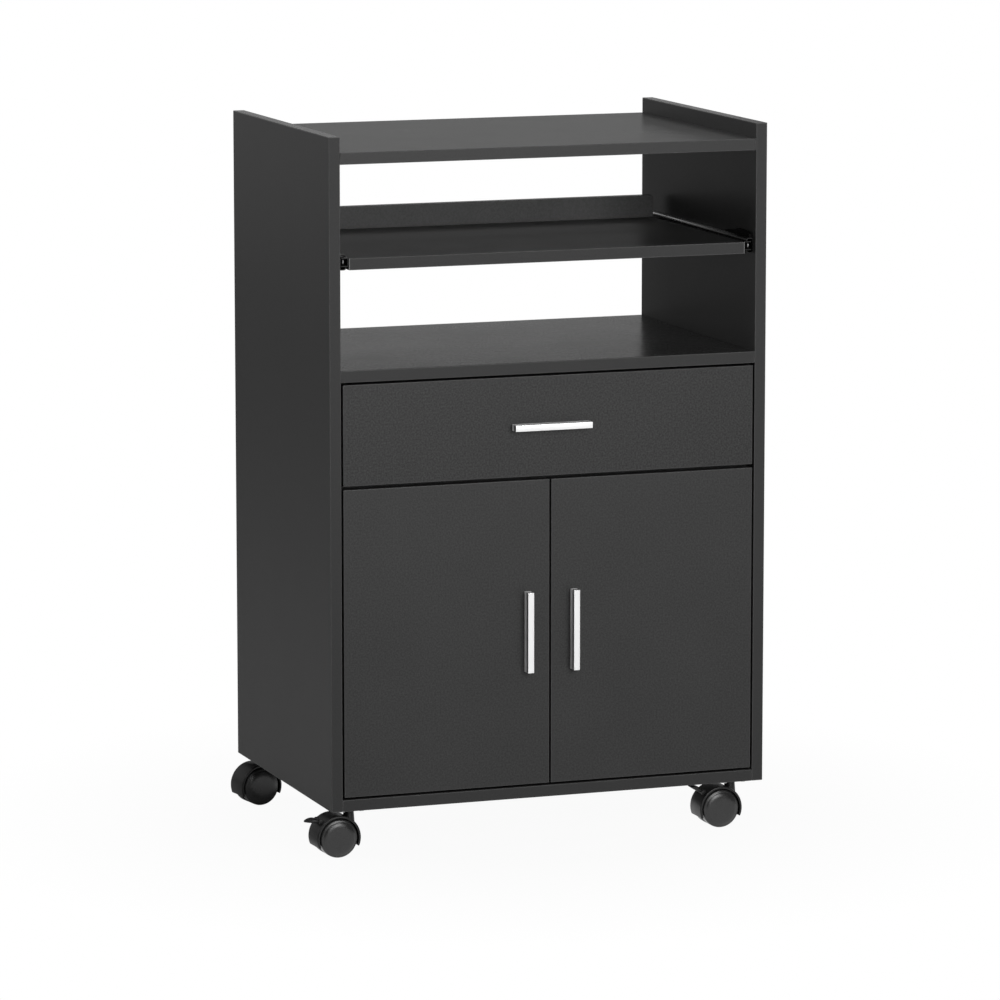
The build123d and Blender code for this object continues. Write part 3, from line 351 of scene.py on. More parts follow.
# Black coat of the slides, with a painted highlight in pale metal on the upper bends of the shelf rails
ROLLING_STRETCH = (1.0, 0.04, 1.0)
ROLLING_LINES = (1500.0, 3.0, 0.6)
RUB_PATCHES = (55.0, 3.0, 0.6)
RUB_STOPS = ((0.55, 0.0), (0.8, 1.0))
COAT_LEVELS = (0.005, 0.020)
COAT_LINE_SHARE = 0.5
COAT_RUB_SHARE = 0.4
COAT_ROUGHNESS = 0.24
COAT_RUB_POLISH = 0.06
COAT_LINE_DULLING = 0.08
COAT_SPECULAR = 0.15
COAT_RELIEF = 0.00002
BEAD_HIGHLIGHT_RISE = 0.0022
BEAD_HIGHLIGHT_DEPTH_SHARE = 1.5
BEAD_HIGHLIGHT_SPAN = (-0.16, 0.08)
BEAD_HIGHLIGHT_LEVEL = 0.75
BEAD_HIGHLIGHT_LINE_SHARE = 0.4
BEAD_HIGHLIGHT_PLAIN_SHARE = 0.8


def black_slide_coat(name, highlight_from=None):
    """Black coat on rolled steel: rolling lines along the slide, rubbed patches, and a painted highlight on the
    upper bend.

    The painted highlight sets in from one height over a short rise, and grows towards the rear over a span.
    """
    finish = Finish(name)
    lines = finish.noise(finish.place(ROLLING_STRETCH), *ROLLING_LINES)
    place = finish.place()
    rub = finish.ramp(finish.noise(place, *RUB_PATCHES), RUB_STOPS)
    colour = finish.mix(lines * COAT_LINE_SHARE + rub * COAT_RUB_SHARE, *shades(1.0, COAT_LEVELS))
    bead_highlight = 0.0
    # painted highlight: pale metal colour on the upper bend, growing towards the rear
    if highlight_from:
        bead_highlight = finish.fade(finish.along(place, 2), highlight_from, highlight_from + BEAD_HIGHLIGHT_RISE)
        bead_highlight = bead_highlight * finish.fade(finish.along(place, 1), *BEAD_HIGHLIGHT_SPAN)
        highlight_mix = bead_highlight * (lines * BEAD_HIGHLIGHT_LINE_SHARE + BEAD_HIGHLIGHT_PLAIN_SHARE)
        colour = finish.mix(highlight_mix, colour, grey(BEAD_HIGHLIGHT_LEVEL))
    return finish.surface(
        Base_Color=colour,
        Metallic=bead_highlight,
        Roughness=COAT_ROUGHNESS - rub * COAT_RUB_POLISH + lines * COAT_LINE_DULLING,
        Specular_IOR_Level=COAT_SPECULAR,
        Normal=finish.bump(lines, COAT_RELIEF),
    )


# Black plastic of the casters and of the guides above the shelf rails
SPARK_GRAIN = (2600.0, 2.0, 0.6)
FLOW_MARKS = (90.0, 3.0, 0.55)
FLOW_SHARE = 0.6
MOULDED_SHADES = (0.7, 1.35)
FLOW_DULLING = 0.14
SPARK_DULLING = 0.06


def moulded_black(name, level, roughness, grain_depth, specular):
    """Black moulded plastic with a fine spark grain and slight flow marks."""
    finish = Finish(name)
    place = finish.place()
    spark = finish.noise(place, *SPARK_GRAIN)
    flow = finish.noise(place, *FLOW_MARKS)
    return finish.surface(
        Base_Color=finish.mix(blend(spark, flow, FLOW_SHARE), *shades(level, MOULDED_SHADES)),
        Roughness=flow * FLOW_DULLING + spark * SPARK_DULLING + roughness,
        Specular_IOR_Level=specular,
        Normal=finish.bump(spark, grain_depth),
    )


# Bare wood of the dowels
DOWEL_STRETCH = (0.08, 1.0, 1.0)
DOWEL_GRAIN = (900.0, 4.0, 0.6)
DOWEL_DARK = (0.36, 0.22, 0.11, 1.0)
DOWEL_PALE = (0.62, 0.44, 0.26, 1.0)
DOWEL_ROUGHNESS = 0.55
DOWEL_DULLING = 0.2
DOWEL_RELIEF = 0.00005


def bare_dowel(name):
    """Bare wood with straight grain along the dowel."""
    finish = Finish(name)
    grain = finish.noise(finish.place(DOWEL_STRETCH), *DOWEL_GRAIN)
    return finish.surface(
        Base_Color=finish.mix(grain, DOWEL_DARK, DOWEL_PALE),
        Roughness=grain * DOWEL_DULLING + DOWEL_ROUGHNESS,
        Normal=finish.bump(grain, DOWEL_RELIEF),
    )


# Which finish goes where: one for each slot, a foil for each board, and a few for new pieces
FINISHES = {
    "thin_board": plain_foil("thin_board", 0.045),
    "drawer_board": plain_foil("drawer_board", 0.048),
    "handle_metal": bright_bar("bright_bar", LEVEL_HAIRLINES),
    "slide_metal": black_slide_coat("black_slide"),
    "ball_cage_metal": plated_steel("ball_cage", 0.55, 0.18),
    "hinge_metal": plated_steel("nickel_hinge", 0.60, 0.22),
    "fastener_metal": plated_steel("zinc_fastener", 0.55, 0.28),
    "dowel_wood": bare_dowel("bare_dowel"),
    "caster_metal": plated_steel("caster_steel", 0.50, 0.30),
    "caster_plastic": moulded_black("caster_black", 0.008, 0.28, 0.00003, 0.35),
    "wheel_plastic": moulded_black("wheel_black", 0.022, 0.18, 0.00002, 0.50),
}
RAIL_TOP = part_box("shelf_slide_rails")[1][2]
RUNNER_NOSE = plated_steel("runner_nose", 0.18, 0.25)
RAIL_GUIDE = moulded_black("guide_black", 0.003, 0.5, 0.00002, 0.08)
# rails whose upper bends carry a painted highlight
HIGHLIGHTED_RAIL = black_slide_coat("highlighted_rail", RAIL_TOP - BEAD_HIGHLIGHT_RISE * BEAD_HIGHLIGHT_DEPTH_SHARE)
UPRIGHT_BAR = bright_bar("bright_upright_bar", UPRIGHT_HAIRLINES)
SLOT_LOOKS = {
    "dark_board": {
        "level": 0.029,
        "speckle": 0.25,
        "pebble_depth": 0.00005,
        "roughness": 0.30,
        "specular": 0.30,
        "line_share": 0.55,
        "end_share": 0.0,
    },
    "front_board": {
        "level": 0.033,
        "speckle": 0.50,
        "pebble_depth": 0.00008,
        "roughness": 0.38,
        "specular": 0.25,
        "line_share": 0.55,
        "end_share": 0.0,
    },
}
BOARD_LOOKS = {
    "drawer_front": {"level": 0.029, "speckle": 0.90},
    # the pull-out shelf gets stronger painted highlight lines, and painted highlights at its ends
    "pull_out_shelf": {"line_share": 0.8, "end_share": 1.0},
    "top_board": {"roughness": 0.22},
    # the open shelf's foil is darker than the other boards: painted shade
    "open_shelf_board": {"level": 0.018, "roughness": 0.20, "specular": 0.24},
    # the back strip's foil is much lighter than the other boards: painted light
    "shelf_back_strip": {"level": 0.085, "specular": 0.10},
}


def dress(piece, finish):
    """Gives a piece one finish."""
    piece.data.materials.clear()
    piece.data.materials.append(finish)


for node_name, node in NODES.items():
    slot = SLOT_OF_NODE[node_name]
    if slot in SLOT_LOOKS:
        look = SLOT_LOOKS[slot] | BOARD_LOOKS.get(node_name, {})
        dress(node, charcoal_foil(node_name, **look))
    else:
        dress(node, FINISHES[slot])

# Surfaces: points worked out on grids, and the pieces made from them
ROUND_STEPS = 96
SMALL_ROUND_STEPS = 32
CORNER_STEPS = 6
EASED_STEPS = 5
MERGE_DISTANCE = 1e-7
SHARP_ANGLE = 38.0


def grid_faces(rows, columns):
    """Quads between neighbouring points of a grid whose columns wrap round."""
    row = np.arange(rows - 1)[:, None] * columns
    column = np.arange(columns)[None, :]
    after = (column + 1) % columns
    above = row + columns
    return np.stack([row + column, row + after, above + after, above + column], -1).reshape(-1, 4)


def lofted(rings):
    """Closed skin through rings of points, an array of rings by points by 3, with both end rings filled."""
    rows, columns, _ = rings.shape
    last = (rows - 1) * columns
    faces = grid_faces(rows, columns).tolist()
    faces.append(list(range(columns))[::-1])
    faces.append(list(range(last, last + columns)))
    return rings.reshape(-1, 3), faces


def arc(centre, radius, start, end, steps):
    """Points on a circle in a plane: centre plus radius times cosine and sine of evenly spaced degrees."""
    angles = np.radians(np.linspace(start, end, steps))
    return np.stack([centre[0] + radius * np.cos(angles), centre[1] + radius * np.sin(angles)], -1)


def rounded_outline(low, high, radii):
    """Loop round a box in a plane, with an arc of its own radius at each corner, from the low corner on."""
    (x0, y0), (x1, y1) = low, high
    a, b, c, d = radii
    return np.concatenate([
        arc((x0 + a, y0 + a), a, 180, 270, CORNER_STEPS),
        arc((x1 - b, y0 + b), b, 270, 360, CORNER_STEPS),
        arc((x1 - c, y1 - c), c, 0, 90, CORNER_STEPS),
        arc((x0 + d, y1 - d), d, 90, 180, CORNER_STEPS),
    ])


def spun(profile, steps=ROUND_STEPS):
    """Profile of (radius, height) points turned about the third axis by cosine and sine of an angle."""
    turn = np.linspace(0, 2 * np.pi, steps, endpoint=False)
    radius = profile[:, :1]
    height = np.broadcast_to(profile[:, 1:], (len(profile), steps))
    return np.stack([radius * np.cos(turn), radius * np.sin(turn), height], -1)


def add_piece(name, surfaces, finish, body, slot, *nodes):
    """One object from closed surfaces, standing for some nodes of a body."""
    points = np.concatenate([np.asarray(skin[0]) for skin in surfaces])
    starts = np.cumsum([0] + [len(skin[0]) for skin in surfaces])
    faces = [[start + i for i in face] for start, skin in zip(starts, surfaces) for face in skin[1]]
    mesh = bpy.data.meshes.new(name)
    mesh.from_pydata(points.tolist(), [], faces)
    form = bmesh.new()
    form.from_mesh(mesh)
    bmesh.ops.remove_doubles(form, verts=form.verts, dist=MERGE_DISTANCE)
    bmesh.ops.dissolve_degenerate(form, edges=form.edges, dist=MERGE_DISTANCE)
    bmesh.ops.recalc_face_normals(form, faces=form.faces)
    form.to_mesh(mesh)
    form.free()
    mesh.shade_smooth()
    mesh.set_sharp_from_angle(angle=math.radians(SHARP_ANGLE))
    mesh.materials.append(finish)
    piece = bpy.data.objects.new(name, mesh)
    bpy.context.scene.collection.objects.link(piece)
    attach(piece, body)
    if nodes:
        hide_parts(*nodes)
    return piece


# Bar handles: a base with rounded shoulders, a neck set in from its ends, and a front plate
HANDLE_NECK_SHARE = 0.375
HANDLE_NECK_INSET = 0.005
HANDLE_NECK_OVERLAP = 0.0002
HANDLE_SHOULDER = 0.0008
HANDLE_ROUND = 0.0004
HANDLE_BEVEL = 0.00035
HANDLE_BEVEL_STEPS = 3


def handle_bars(width, depth):
    """Loops of base, neck and plate, in (out from the board, across), and how far each is set in."""
    base, plate = (depth * share for share in HANDLE_GROOVE_SHARES)
    wide = width / 2
    narrow = wide * HANDLE_NECK_SHARE
    shoulders = (HANDLE_ROUND, HANDLE_SHOULDER, HANDLE_SHOULDER, HANDLE_ROUND)
    even = (HANDLE_ROUND,) * 4
    neck = (base - HANDLE_NECK_OVERLAP, -narrow), (plate + HANDLE_NECK_OVERLAP, narrow)
    return [
        (rounded_outline((0, -wide), (base, wide), shoulders), 0.0),
        (rounded_outline(*neck, even), HANDLE_NECK_INSET),
        (rounded_outline((plate, -wide), (depth, wide), even), 0.0),
    ]


def add_handle(node, body, long_axis, finish):
    """Three loops carried along the handle's long axis, between the ends of its node."""
    low, high = (np.array(corner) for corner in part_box(node))
    across_axis = 2 if long_axis == 0 else 0
    bars = []
    for loop, inset in handle_bars(high[across_axis] - low[across_axis], high[1] - low[1]):
        rings = np.zeros((2, len(loop), 3))
        rings[:, :, 1] = high[1] - loop[:, 0]
        rings[:, :, across_axis] = (low + high)[across_axis] / 2 + loop[:, 1]
        rings[:, :, long_axis] = np.array([[low[long_axis] + inset], [high[long_axis] - inset]])
        bars.append(lofted(rings))
    piece = add_piece(node + "_bar", bars, finish, body, "handle_metal", node)
    bevel = piece.modifiers.new("soft_edges", "BEVEL")
    bevel.width = HANDLE_BEVEL
    bevel.segments = HANDLE_BEVEL_STEPS
    bevel.limit_method = "ANGLE"
    bevel.harden_normals = True


add_handle("drawer_handle", "drawer", 0, FINISHES["handle_metal"])
add_handle("left_door_handle", "left_door", 2, UPRIGHT_BAR)
add_handle("right_door_handle", "right_door", 2, UPRIGHT_BAR)

# Shelf slides: rails rolled to a C, a runner's rounded nose in the mouth of each, a guide above each rail
RAIL_SHEET = 0.0012
RAIL_REACH = 0.010
RAIL_BEND = 0.0028
RAIL_BEND_STEPS = 9
RAIL_LIP_END = 0.0063
NOSE_HALVES = np.array([0.0028, 0.0050, 0.0056])
NOSE_SETBACK = 0.002
NOSE_STEPS = 17
GUIDE_WIDTH = 0.0035
GUIDE_SPAN = np.array([0.006, 0.088])
GUIDE_HEIGHT = 0.0080
GUIDE_ROUNDS = (1e-5, 1e-5, 0.0012, 0.0012)
GUIDE_RAMP_SHARES = np.array([0.0, 0.12, 0.5, 0.62, 1.0])
GUIDE_RAMP_HEIGHTS = np.array([0.6, 0.9, 1.0, 0.7, 0.25])


def rail_section(half):
    """Loop half a sheet to both sides of a C-shaped path with round bends, in (in from the panel, up)."""
    near, far, high = RAIL_SHEET / 2, RAIL_REACH - RAIL_SHEET / 2, half - RAIL_SHEET / 2
    upper = np.concatenate([
        [(far, RAIL_LIP_END)],
        arc((far - RAIL_BEND, high - RAIL_BEND), RAIL_BEND, 0, 90, RAIL_BEND_STEPS),
        arc((near + RAIL_BEND, high - RAIL_BEND), RAIL_BEND, 90, 180, RAIL_BEND_STEPS),
    ])
    path = np.concatenate([upper, upper[::-1] * (1, -1)])
    along = np.gradient(path, axis=0)
    along = along / np.linalg.norm(along, axis=1, keepdims=True)
    aside = along[:, ::-1] * (-1, 1) * RAIL_SHEET / 2
    return np.concatenate([path + aside, (path - aside)[::-1]])


def ellipsoid(centre, halves):
    """Half-axes times cosine and sine of a latitude and a longitude, round a centre."""
    latitude = np.linspace(-np.pi / 2, np.pi / 2, NOSE_STEPS)
    profile = np.stack([np.cos(latitude), np.sin(latitude)], -1)
    return lofted(spun(profile, SMALL_ROUND_STEPS) * halves + centre)


def rolled_rail(side, low, high):
    """The rail's section carried from its front to its rear on one side panel."""
    section = rail_section((high[2] - low[2]) / 2)
    rings = np.zeros((2, len(section), 3))
    rings[:, :, 0] = side * (high[0] - section[:, 0])
    rings[:, :, 1] = np.array([[low[1]], [high[1]]])
    rings[:, :, 2] = (low[2] + high[2]) / 2 + section[:, 1]
    return lofted(rings)


def rail_guide(side, low, high):
    """Rounded strip on the panel above a rail, carried along it while its height follows a ramp."""
    loop = rounded_outline((0, 0), (GUIDE_WIDTH, GUIDE_HEIGHT), GUIDE_ROUNDS)
    rings = np.zeros((len(GUIDE_RAMP_SHARES), len(loop), 3))
    rings[:, :, 0] = side * (high[0] - loop[:, 0])
    rings[:, :, 1] = low[1] + GUIDE_SPAN[0] + np.diff(GUIDE_SPAN) * GUIDE_RAMP_SHARES[:, None]
    rings[:, :, 2] = high[2] + GUIDE_RAMP_HEIGHTS[:, None] * loop[:, 1]
    return lofted(rings)


def runner_nose(side, low, high):
    """Ellipsoid between the shelf's side and one panel, set back from the front of the rail."""
    between = (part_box("pull_out_shelf")[1][0] + high[0]) / 2
    centre = np.array([side * between, low[1] + NOSE_SETBACK + NOSE_HALVES[1], (low[2] + high[2]) / 2])
    return ellipsoid(centre, NOSE_HALVES)


def add_shelf_slides():
    """Rails, guides and noses on both sides, placed from the boxes of the rails and the shelf."""
    low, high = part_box("shelf_slide_rails")
    rails = [rolled_rail(side, low, high) for side in (-1, 1)]
    add_piece("rolled_shelf_rails", rails, HIGHLIGHTED_RAIL, "carcase", "slide_metal", "shelf_slide_rails")
    guides = [rail_guide(side, low, high) for side in (-1, 1)]
    add_piece("rail_guides", guides, RAIL_GUIDE, "carcase", "slide_metal")
    noses = [runner_nose(side, low, high) for side in (-1, 1)]
    add_piece("runner_noses", noses, RUNNER_NOSE, "shelf", "slide_metal")


add_shelf_slides()

# Casters: moulded hood, twin wheels with domed discs, and a leaf-shaped brake lever on the front ones
HOOD_OUTER = 0.0295
HOOD_INNER = 0.0265
HOOD_HALF = 0.0176
HOOD_ENDS = (-20.0, 200.0)
HOOD_CORNERS = (0.0004, 0.0004, 0.0014, 0.0014)
HOOD_STEPS = 96
HOOD_TIP_STEPS = 7
HOOD_TIP_CLOSED = 0.995
WEB_HALF = 0.003
WEB_HUB = 0.007
WEB_RIM_STEPS = 64
WEB_HUB_STEPS = 24
BARREL_HEIGHTS = (0.03825, 0.0600)
BARREL_RADII = (0.0080, 0.0065)
BARREL_EDGE = 0.0006
TREAD_INNER = 0.0036
TREAD_INNER_EDGE = 0.0012
DISC_EDGE = 0.0030
DISC_EDGE_DEGREES = 76
DISC_EDGE_STEPS = 10
DISC_DOME = 0.0030
DISC_POWER = 6
DISC_STEPS = 24
LEVER_TILTS = {"front_left": 2.0, "front_right": 26.0}
LEVER_LENGTH = 0.020
LEVER_HALF = 0.008
LEVER_HUB = 0.0028
LEVER_LIFT = 0.0012
LEVER_SHOULDER_SHARE = 0.42
LEVER_ROOT_THICK = 0.0021
LEVER_BELLY_THICK = 0.0030
LEVER_TIP_THICK = 0.0005
LEVER_TIP_POWER = 1.5
LEVER_TIP_CLOSED = 0.999
LEVER_ROUND_POWER = 0.6
LEVER_STEPS = 33
LEVER_LOOP_STEPS = 40
EAR_RADIUS = 0.0036
EAR_INNER = 0.0084
EAR_OUTER = 0.0104
EAR_EDGE = 0.0008


class CasterFrame:
    """Places points given along a caster's own axes: forward to its swivel, along its axle, and up."""

    def __init__(self, name):
        swivel = np.array(JOINTS[name + "_swivel"]["pos_m"])
        spin = JOINTS[name + "_near_wheel_spin"]
        axle = np.array(spin["pos_m"])
        ahead = (swivel - axle) * (1, 1, 0)
        ahead = ahead / np.linalg.norm(ahead)
        self.axes = np.stack([ahead, np.array(spin["axis"]), np.array((0.0, 0.0, 1.0))])
        self.axle = axle
        self.radius = axle[2]
        self.swivel = swivel * (1, 1, 0)

    def at(self, origin, points):
        """Points along the caster's axes, measured from an origin in the cart."""
        return points @ self.axes + origin


def about_axle(points):
    """Points spun about the third axis, turned so that this axis lies along the axle."""
    return points[..., [1, 2, 0]]


def hood_shell(caster):
    """Rounded strip carried round the axle by an angle.

    Past its ends, its thickness closes as the square root of 1 minus the square of the share passed.
    """
    strip = rounded_outline((-HOOD_HALF, HOOD_INNER), (HOOD_HALF, HOOD_OUTER), HOOD_CORNERS)
    middle = (HOOD_INNER + HOOD_OUTER) / 2
    tip_degrees = math.degrees((HOOD_OUTER - HOOD_INNER) / 2 / middle)
    tips = np.linspace(0, 1, HOOD_TIP_STEPS)
    angle = np.concatenate([
        HOOD_ENDS[0] - tip_degrees * tips[:0:-1],
        np.linspace(*HOOD_ENDS, HOOD_STEPS),
        HOOD_ENDS[1] + tip_degrees * tips[1:],
    ])
    beyond = np.maximum(HOOD_ENDS[0] - angle, angle - HOOD_ENDS[1]).clip(0) / tip_degrees
    swell = np.sqrt(1 - np.minimum(beyond, HOOD_TIP_CLOSED) ** 2)
    radius = middle + (strip[None, :, 1] - middle) * swell[:, None]
    turn = np.radians(angle)[:, None]
    across = np.broadcast_to(strip[None, :, 0], radius.shape)
    rings = np.stack([radius * np.cos(turn), across, radius * np.sin(turn)], -1)
    return lofted(caster.at(caster.axle, rings))


def hood_web(caster):
    """Plate between the wheels: an arc under the shell and an arc round the axle, carried across it."""
    rim = arc((0, 0), (HOOD_INNER + HOOD_OUTER) / 2, *HOOD_ENDS, WEB_RIM_STEPS)
    hub = arc((0, 0), WEB_HUB, HOOD_ENDS[1], HOOD_ENDS[0] + 360, WEB_HUB_STEPS)
    loop = np.concatenate([rim, hub])
    rings = np.zeros((2, len(loop), 3))
    rings[:, :, 0] = loop[:, 0]
    rings[:, :, 1] = np.array([[-WEB_HALF], [WEB_HALF]])
    rings[:, :, 2] = loop[:, 1]
    return lofted(caster.at(caster.axle, rings))


def hood_barrel(caster):
    """Tapered barrel spun about the swivel axis, with an eased top edge."""
    foot, top = BARREL_HEIGHTS
    wide, narrow = BARREL_RADII
    profile = np.concatenate([
        [(0, foot), (wide, foot)],
        arc((narrow - BARREL_EDGE, top - BARREL_EDGE), BARREL_EDGE, 0, 90, EASED_STEPS),
        [(0, top)],
    ])
    return lofted(caster.at(caster.swivel, spun(profile)))


def lever_ear(caster, pivot, side):
    """Round boss on the hood at one end of the lever's pivot, spun about it, with an eased outer edge."""
    profile = np.concatenate([
        [(0, EAR_INNER), (EAR_RADIUS, EAR_INNER)],
        arc((EAR_RADIUS - EAR_EDGE, EAR_OUTER - EAR_EDGE), EAR_EDGE, 0, 90, EASED_STEPS),
        [(0, EAR_OUTER)],
    ])
    profile[:, 1] *= side
    return lofted(caster.at(pivot, about_axle(spun(profile, SMALL_ROUND_STEPS))))


def wheel_form(caster, side):
    """Wheel spun about the axle: flat inner face, tread, rounded edge and a disc.

    The disc's dome rises as 1 minus a power of the radius.
    """
    tread = caster.radius
    inner = (tread - TREAD_INNER_EDGE, TREAD_INNER + TREAD_INNER_EDGE)
    rim = tread - DISC_EDGE
    share = np.linspace(1, 0, DISC_STEPS)
    profile = np.concatenate([
        [(0, TREAD_INNER)],
        arc(inner, TREAD_INNER_EDGE, 270, 360, EASED_STEPS),
        arc((rim, HOOD_HALF - DISC_EDGE), DISC_EDGE, 0, DISC_EDGE_DEGREES, DISC_EDGE_STEPS),
        np.stack([rim * share, HOOD_HALF + DISC_DOME * (1 - share ** DISC_POWER)], -1),
    ])
    profile[:, 1] *= side
    return lofted(caster.at(caster.axle, about_axle(spun(profile))))


def lever_blade(caster, pivot, tilt):
    """Leaf carried from the pivot to its tip: squarish rings whose width and thickness swell, then close.

    A ring is a power of the cosine and of the sine of an angle, each with its sign kept.
    """
    along = np.linspace(0, 1, LEVER_STEPS)
    past = ((along - LEVER_SHOULDER_SHARE) / (1 - LEVER_SHOULDER_SHARE)).clip(0, LEVER_TIP_CLOSED)
    half = LEVER_HALF * np.sqrt(1 - past ** 2)
    rise = (along / LEVER_SHOULDER_SHARE).clip(0, 1)
    thick = LEVER_ROOT_THICK + (LEVER_BELLY_THICK - LEVER_ROOT_THICK) * rise * (2 - rise)
    thick = thick + (LEVER_TIP_THICK - LEVER_BELLY_THICK) * past ** LEVER_TIP_POWER
    lift = LEVER_LIFT * np.sin(np.pi * along)
    turn = np.linspace(0, 2 * np.pi, LEVER_LOOP_STEPS, endpoint=False)
    across = np.sign(np.cos(turn)) * np.abs(np.cos(turn)) ** LEVER_ROUND_POWER
    up = np.sign(np.sin(turn)) * np.abs(np.sin(turn)) ** LEVER_ROUND_POWER
    out = np.broadcast_to(-LEVER_LENGTH * along[:, None], (len(along), len(turn)))
    rings = np.stack([out, half[:, None] * across, thick[:, None] * up + lift[:, None]], -1)
    cosine, sine = math.cos(math.radians(tilt)), math.sin(math.radians(tilt))
    tilted = np.array([[cosine, 0, -sine], [0, 1, 0], [sine, 0, cosine]])
    return lofted(caster.at(pivot, rings @ tilted))


def lever_hub(caster, pivot):
    """Rod spun about the lever's pivot, with eased ends."""
    ring = LEVER_HUB - EAR_EDGE
    profile = np.concatenate([
        [(0, -LEVER_HALF)],
        arc((ring, -LEVER_HALF + EAR_EDGE), EAR_EDGE, 270, 360, EASED_STEPS),
        arc((ring, LEVER_HALF - EAR_EDGE), EAR_EDGE, 0, 90, EASED_STEPS),
        [(0, LEVER_HALF)],
    ])
    return lofted(caster.at(pivot, about_axle(spun(profile, SMALL_ROUND_STEPS))))


def add_caster(name):
    """Hood, wheels and brake lever of one caster, in the places that its joints give."""
    caster = CasterFrame(name)
    hood = [hood_shell(caster), hood_web(caster), hood_barrel(caster)]
    body = name + "_caster"
    black = FINISHES["caster_plastic"]
    brake = JOINTS.get(name + "_brake_pivot")
    if brake:
        pivot = np.array(brake["pos_m"])
        hood += [lever_ear(caster, pivot, side) for side in (-1, 1)]
        lever = [lever_blade(caster, pivot, LEVER_TILTS[name]), lever_hub(caster, pivot)]
        node = name + "_brake_lever"
        add_piece(node + "_leaf", lever, black, node, "caster_plastic", node)
    add_piece(name + "_hood_moulding", hood, black, body, "caster_plastic", name + "_hood")
    for which, side in (("near", -1), ("far", 1)):
        node = f"{name}_{which}_wheel"
        wheel = [wheel_form(caster, side)]
        add_piece(node + "_moulding", wheel, FINISHES["wheel_plastic"], node, "wheel_plastic", node)


for caster_name in ("front_left", "front_right", "rear_left", "rear_right"):
    add_caster(caster_name)

# Camera, at the place from which the photograph was taken
IMAGE_SIDE = 1000
FOCAL_PIXELS = 5523.215
SENSOR = 36.0
CAMERA_REACH = 100.0
CAMERA_PLACE = (-2.42614, -6.70529, 1.56204)
CAMERA_YAW = -0.34772
CAMERA_PITCH = 0.15914


def add_camera():
    """Level camera turned by a yaw about Z and dipped by a pitch."""
    data = bpy.data.cameras.new("photo_camera")
    data.sensor_width = SENSOR
    data.lens = FOCAL_PIXELS / IMAGE_SIDE * SENSOR
    data.clip_end = CAMERA_REACH
    camera = bpy.data.objects.new("photo_camera", data)
    camera.location = CAMERA_PLACE
    level = math.cos(CAMERA_PITCH)
    right, ahead = -math.sin(CAMERA_YAW) * level, math.cos(CAMERA_YAW) * level
    forward = Vector((right, ahead, -math.sin(CAMERA_PITCH)))
    camera.rotation_euler = forward.to_track_quat("-Z", "Y").to_euler()
    bpy.context.scene.collection.objects.link(camera)
    bpy.context.scene.camera = camera


# Studio: white all round, a pale floor that keeps a soft shadow, and large soft lamps
SKY_LIGHT = 0.04
SKY_REFLECTED = 0.10
FLOOR_SIDE = 30.0
FLOOR_LEVEL = 0.42
FLOOR_SHOWN_SHADOW = 0.05
FLOOR_SHADOW_REACH = (0.30, 0.75)
FLOOR_REFLECTED_SLANT = 2.0
FLOOR_REFLECTED_FROM = (0.60, 0.44)
FLOOR_REFLECTED_SHARES = (0.06, 1.0)
LAMP_TARGET = (0.0, 0.0, 0.5)
LAMPS = {
    "front": {"place": (0.4, -2.2, 1.15), "side": 1.0, "power": 15.0},
    "front_wide": {"place": (0.2, -3.0, 1.4), "side": 2.0, "power": 36.0},
    "left": {"place": (-2.8, 0.2, 2.2), "side": 1.4, "power": 30.0},
    "left_back": {"place": (-2.6, 2.2, 1.0), "side": 1.4, "power": 2.0},
    "right": {"place": (3.2, 0.6, 0.9), "side": 1.2, "power": 10.0},
    "overhead": {"place": (0.0, 0.3, 3.4), "side": 2.4, "power": 36.0},
    "right_back": {"place": (3.0, 2.2, 1.3), "side": 1.6, "power": 26.0},
    "back_high": {"place": (0.8, 3.0, 3.0), "side": 2.4, "power": 8.0},
    "back_left": {"place": (-1.6, 3.6, 1.3), "side": 2.0, "power": 3.2},
    "back_low": {"place": (1.2, 4.2, 0.7), "side": 1.6, "power": 3.2},
}


def add_sky():
    """World that shows white to the eye, a part of it in reflections, and lights the object faintly."""
    sky = Finish("studio", "worlds")
    bpy.context.scene.world = sky.owner
    seen = sky.node("ShaderNodeLightPath", output="Is Camera Ray")
    passed = sky.node("ShaderNodeLightPath", output="Is Transmission Ray")
    reflected = sky.node("ShaderNodeLightPath", output="Is Glossy Ray")
    faint = sky.fade(reflected, 0.0, 1.0, SKY_LIGHT, SKY_REFLECTED)
    strength = seen.greater(passed).greater(faint)
    white = sky.node("ShaderNodeBackground", None, {"Color": grey(1.0), "Strength": strength})
    sky.node("ShaderNodeOutputWorld", None, {"Surface": white})


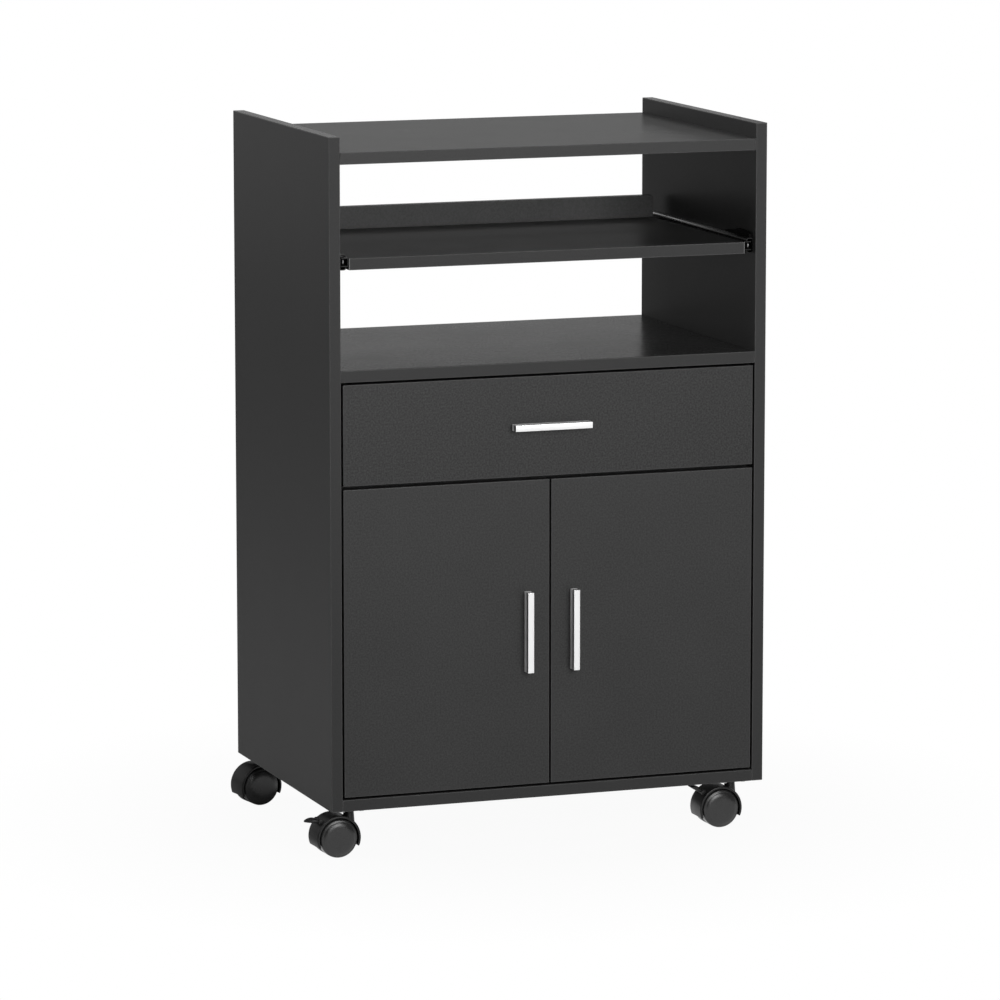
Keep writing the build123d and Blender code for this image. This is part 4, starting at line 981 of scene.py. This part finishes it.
def add_floor():
    """Pale floor that shows as plain white with a soft shadow near the object.

    Reflections see the white too, fully on the near side of a slanted line and faintly beyond it.
    """
    half = FLOOR_SIDE / 2
    corners = [(-half, -half, 0), (half, -half, 0), (half, half, 0), (-half, half, 0)]
    mesh = bpy.data.meshes.new("floor")
    mesh.from_pydata(corners, [], [(0, 1, 2, 3)])
    floor = bpy.data.objects.new("floor", mesh)
    bpy.context.scene.collection.objects.link(floor)
    finish = Finish("pale_floor")
    shaded = finish.node("ShaderNodeBsdfDiffuse", None, {"Color": grey(FLOOR_LEVEL)})
    white = finish.node("ShaderNodeEmission", None, {"Color": grey(1.0), "Strength": 1.0})
    place = finish.place()
    away = finish.node("ShaderNodeVectorMath", {"operation": "LENGTH"}, {0: place}, output="Value")
    ahead = finish.along(place, 1) - finish.along(place, 0) * FLOOR_REFLECTED_SLANT
    seen = finish.node("ShaderNodeLightPath", output="Is Camera Ray")
    reflected = finish.node("ShaderNodeLightPath", output="Is Glossy Ray")
    passed = finish.node("ShaderNodeLightPath", output="Is Transmission Ray")
    shown = seen * finish.fade(away, *FLOOR_SHADOW_REACH, 1.0 - FLOOR_SHOWN_SHADOW, 1.0)
    mirrored = reflected * finish.fade(ahead, *FLOOR_REFLECTED_FROM, *FLOOR_REFLECTED_SHARES)
    sockets = {0: shown + mirrored + passed, 1: shaded, 2: white}
    surface = finish.node("ShaderNodeMixShader", None, sockets)
    finish.node("ShaderNodeOutputMaterial", None, {"Surface": surface})
    mesh.materials.append(finish.owner)


def add_lamp(name, place, side, power):
    """Square soft lamp that faces the lamps' target."""
    data = bpy.data.lights.new(name, "AREA")
    data.size = side
    data.energy = power
    lamp = bpy.data.objects.new(name, data)
    lamp.location = place
    towards = Vector(LAMP_TARGET) - Vector(place)
    lamp.rotation_euler = towards.to_track_quat("-Z", "Y").to_euler()
    bpy.context.scene.collection.objects.link(lamp)


add_camera()
add_sky()
add_floor()
for lamp_name, lamp in LAMPS.items():
    add_lamp(lamp_name, **lamp)

bpy.context.scene.view_settings.view_transform = "Standard"
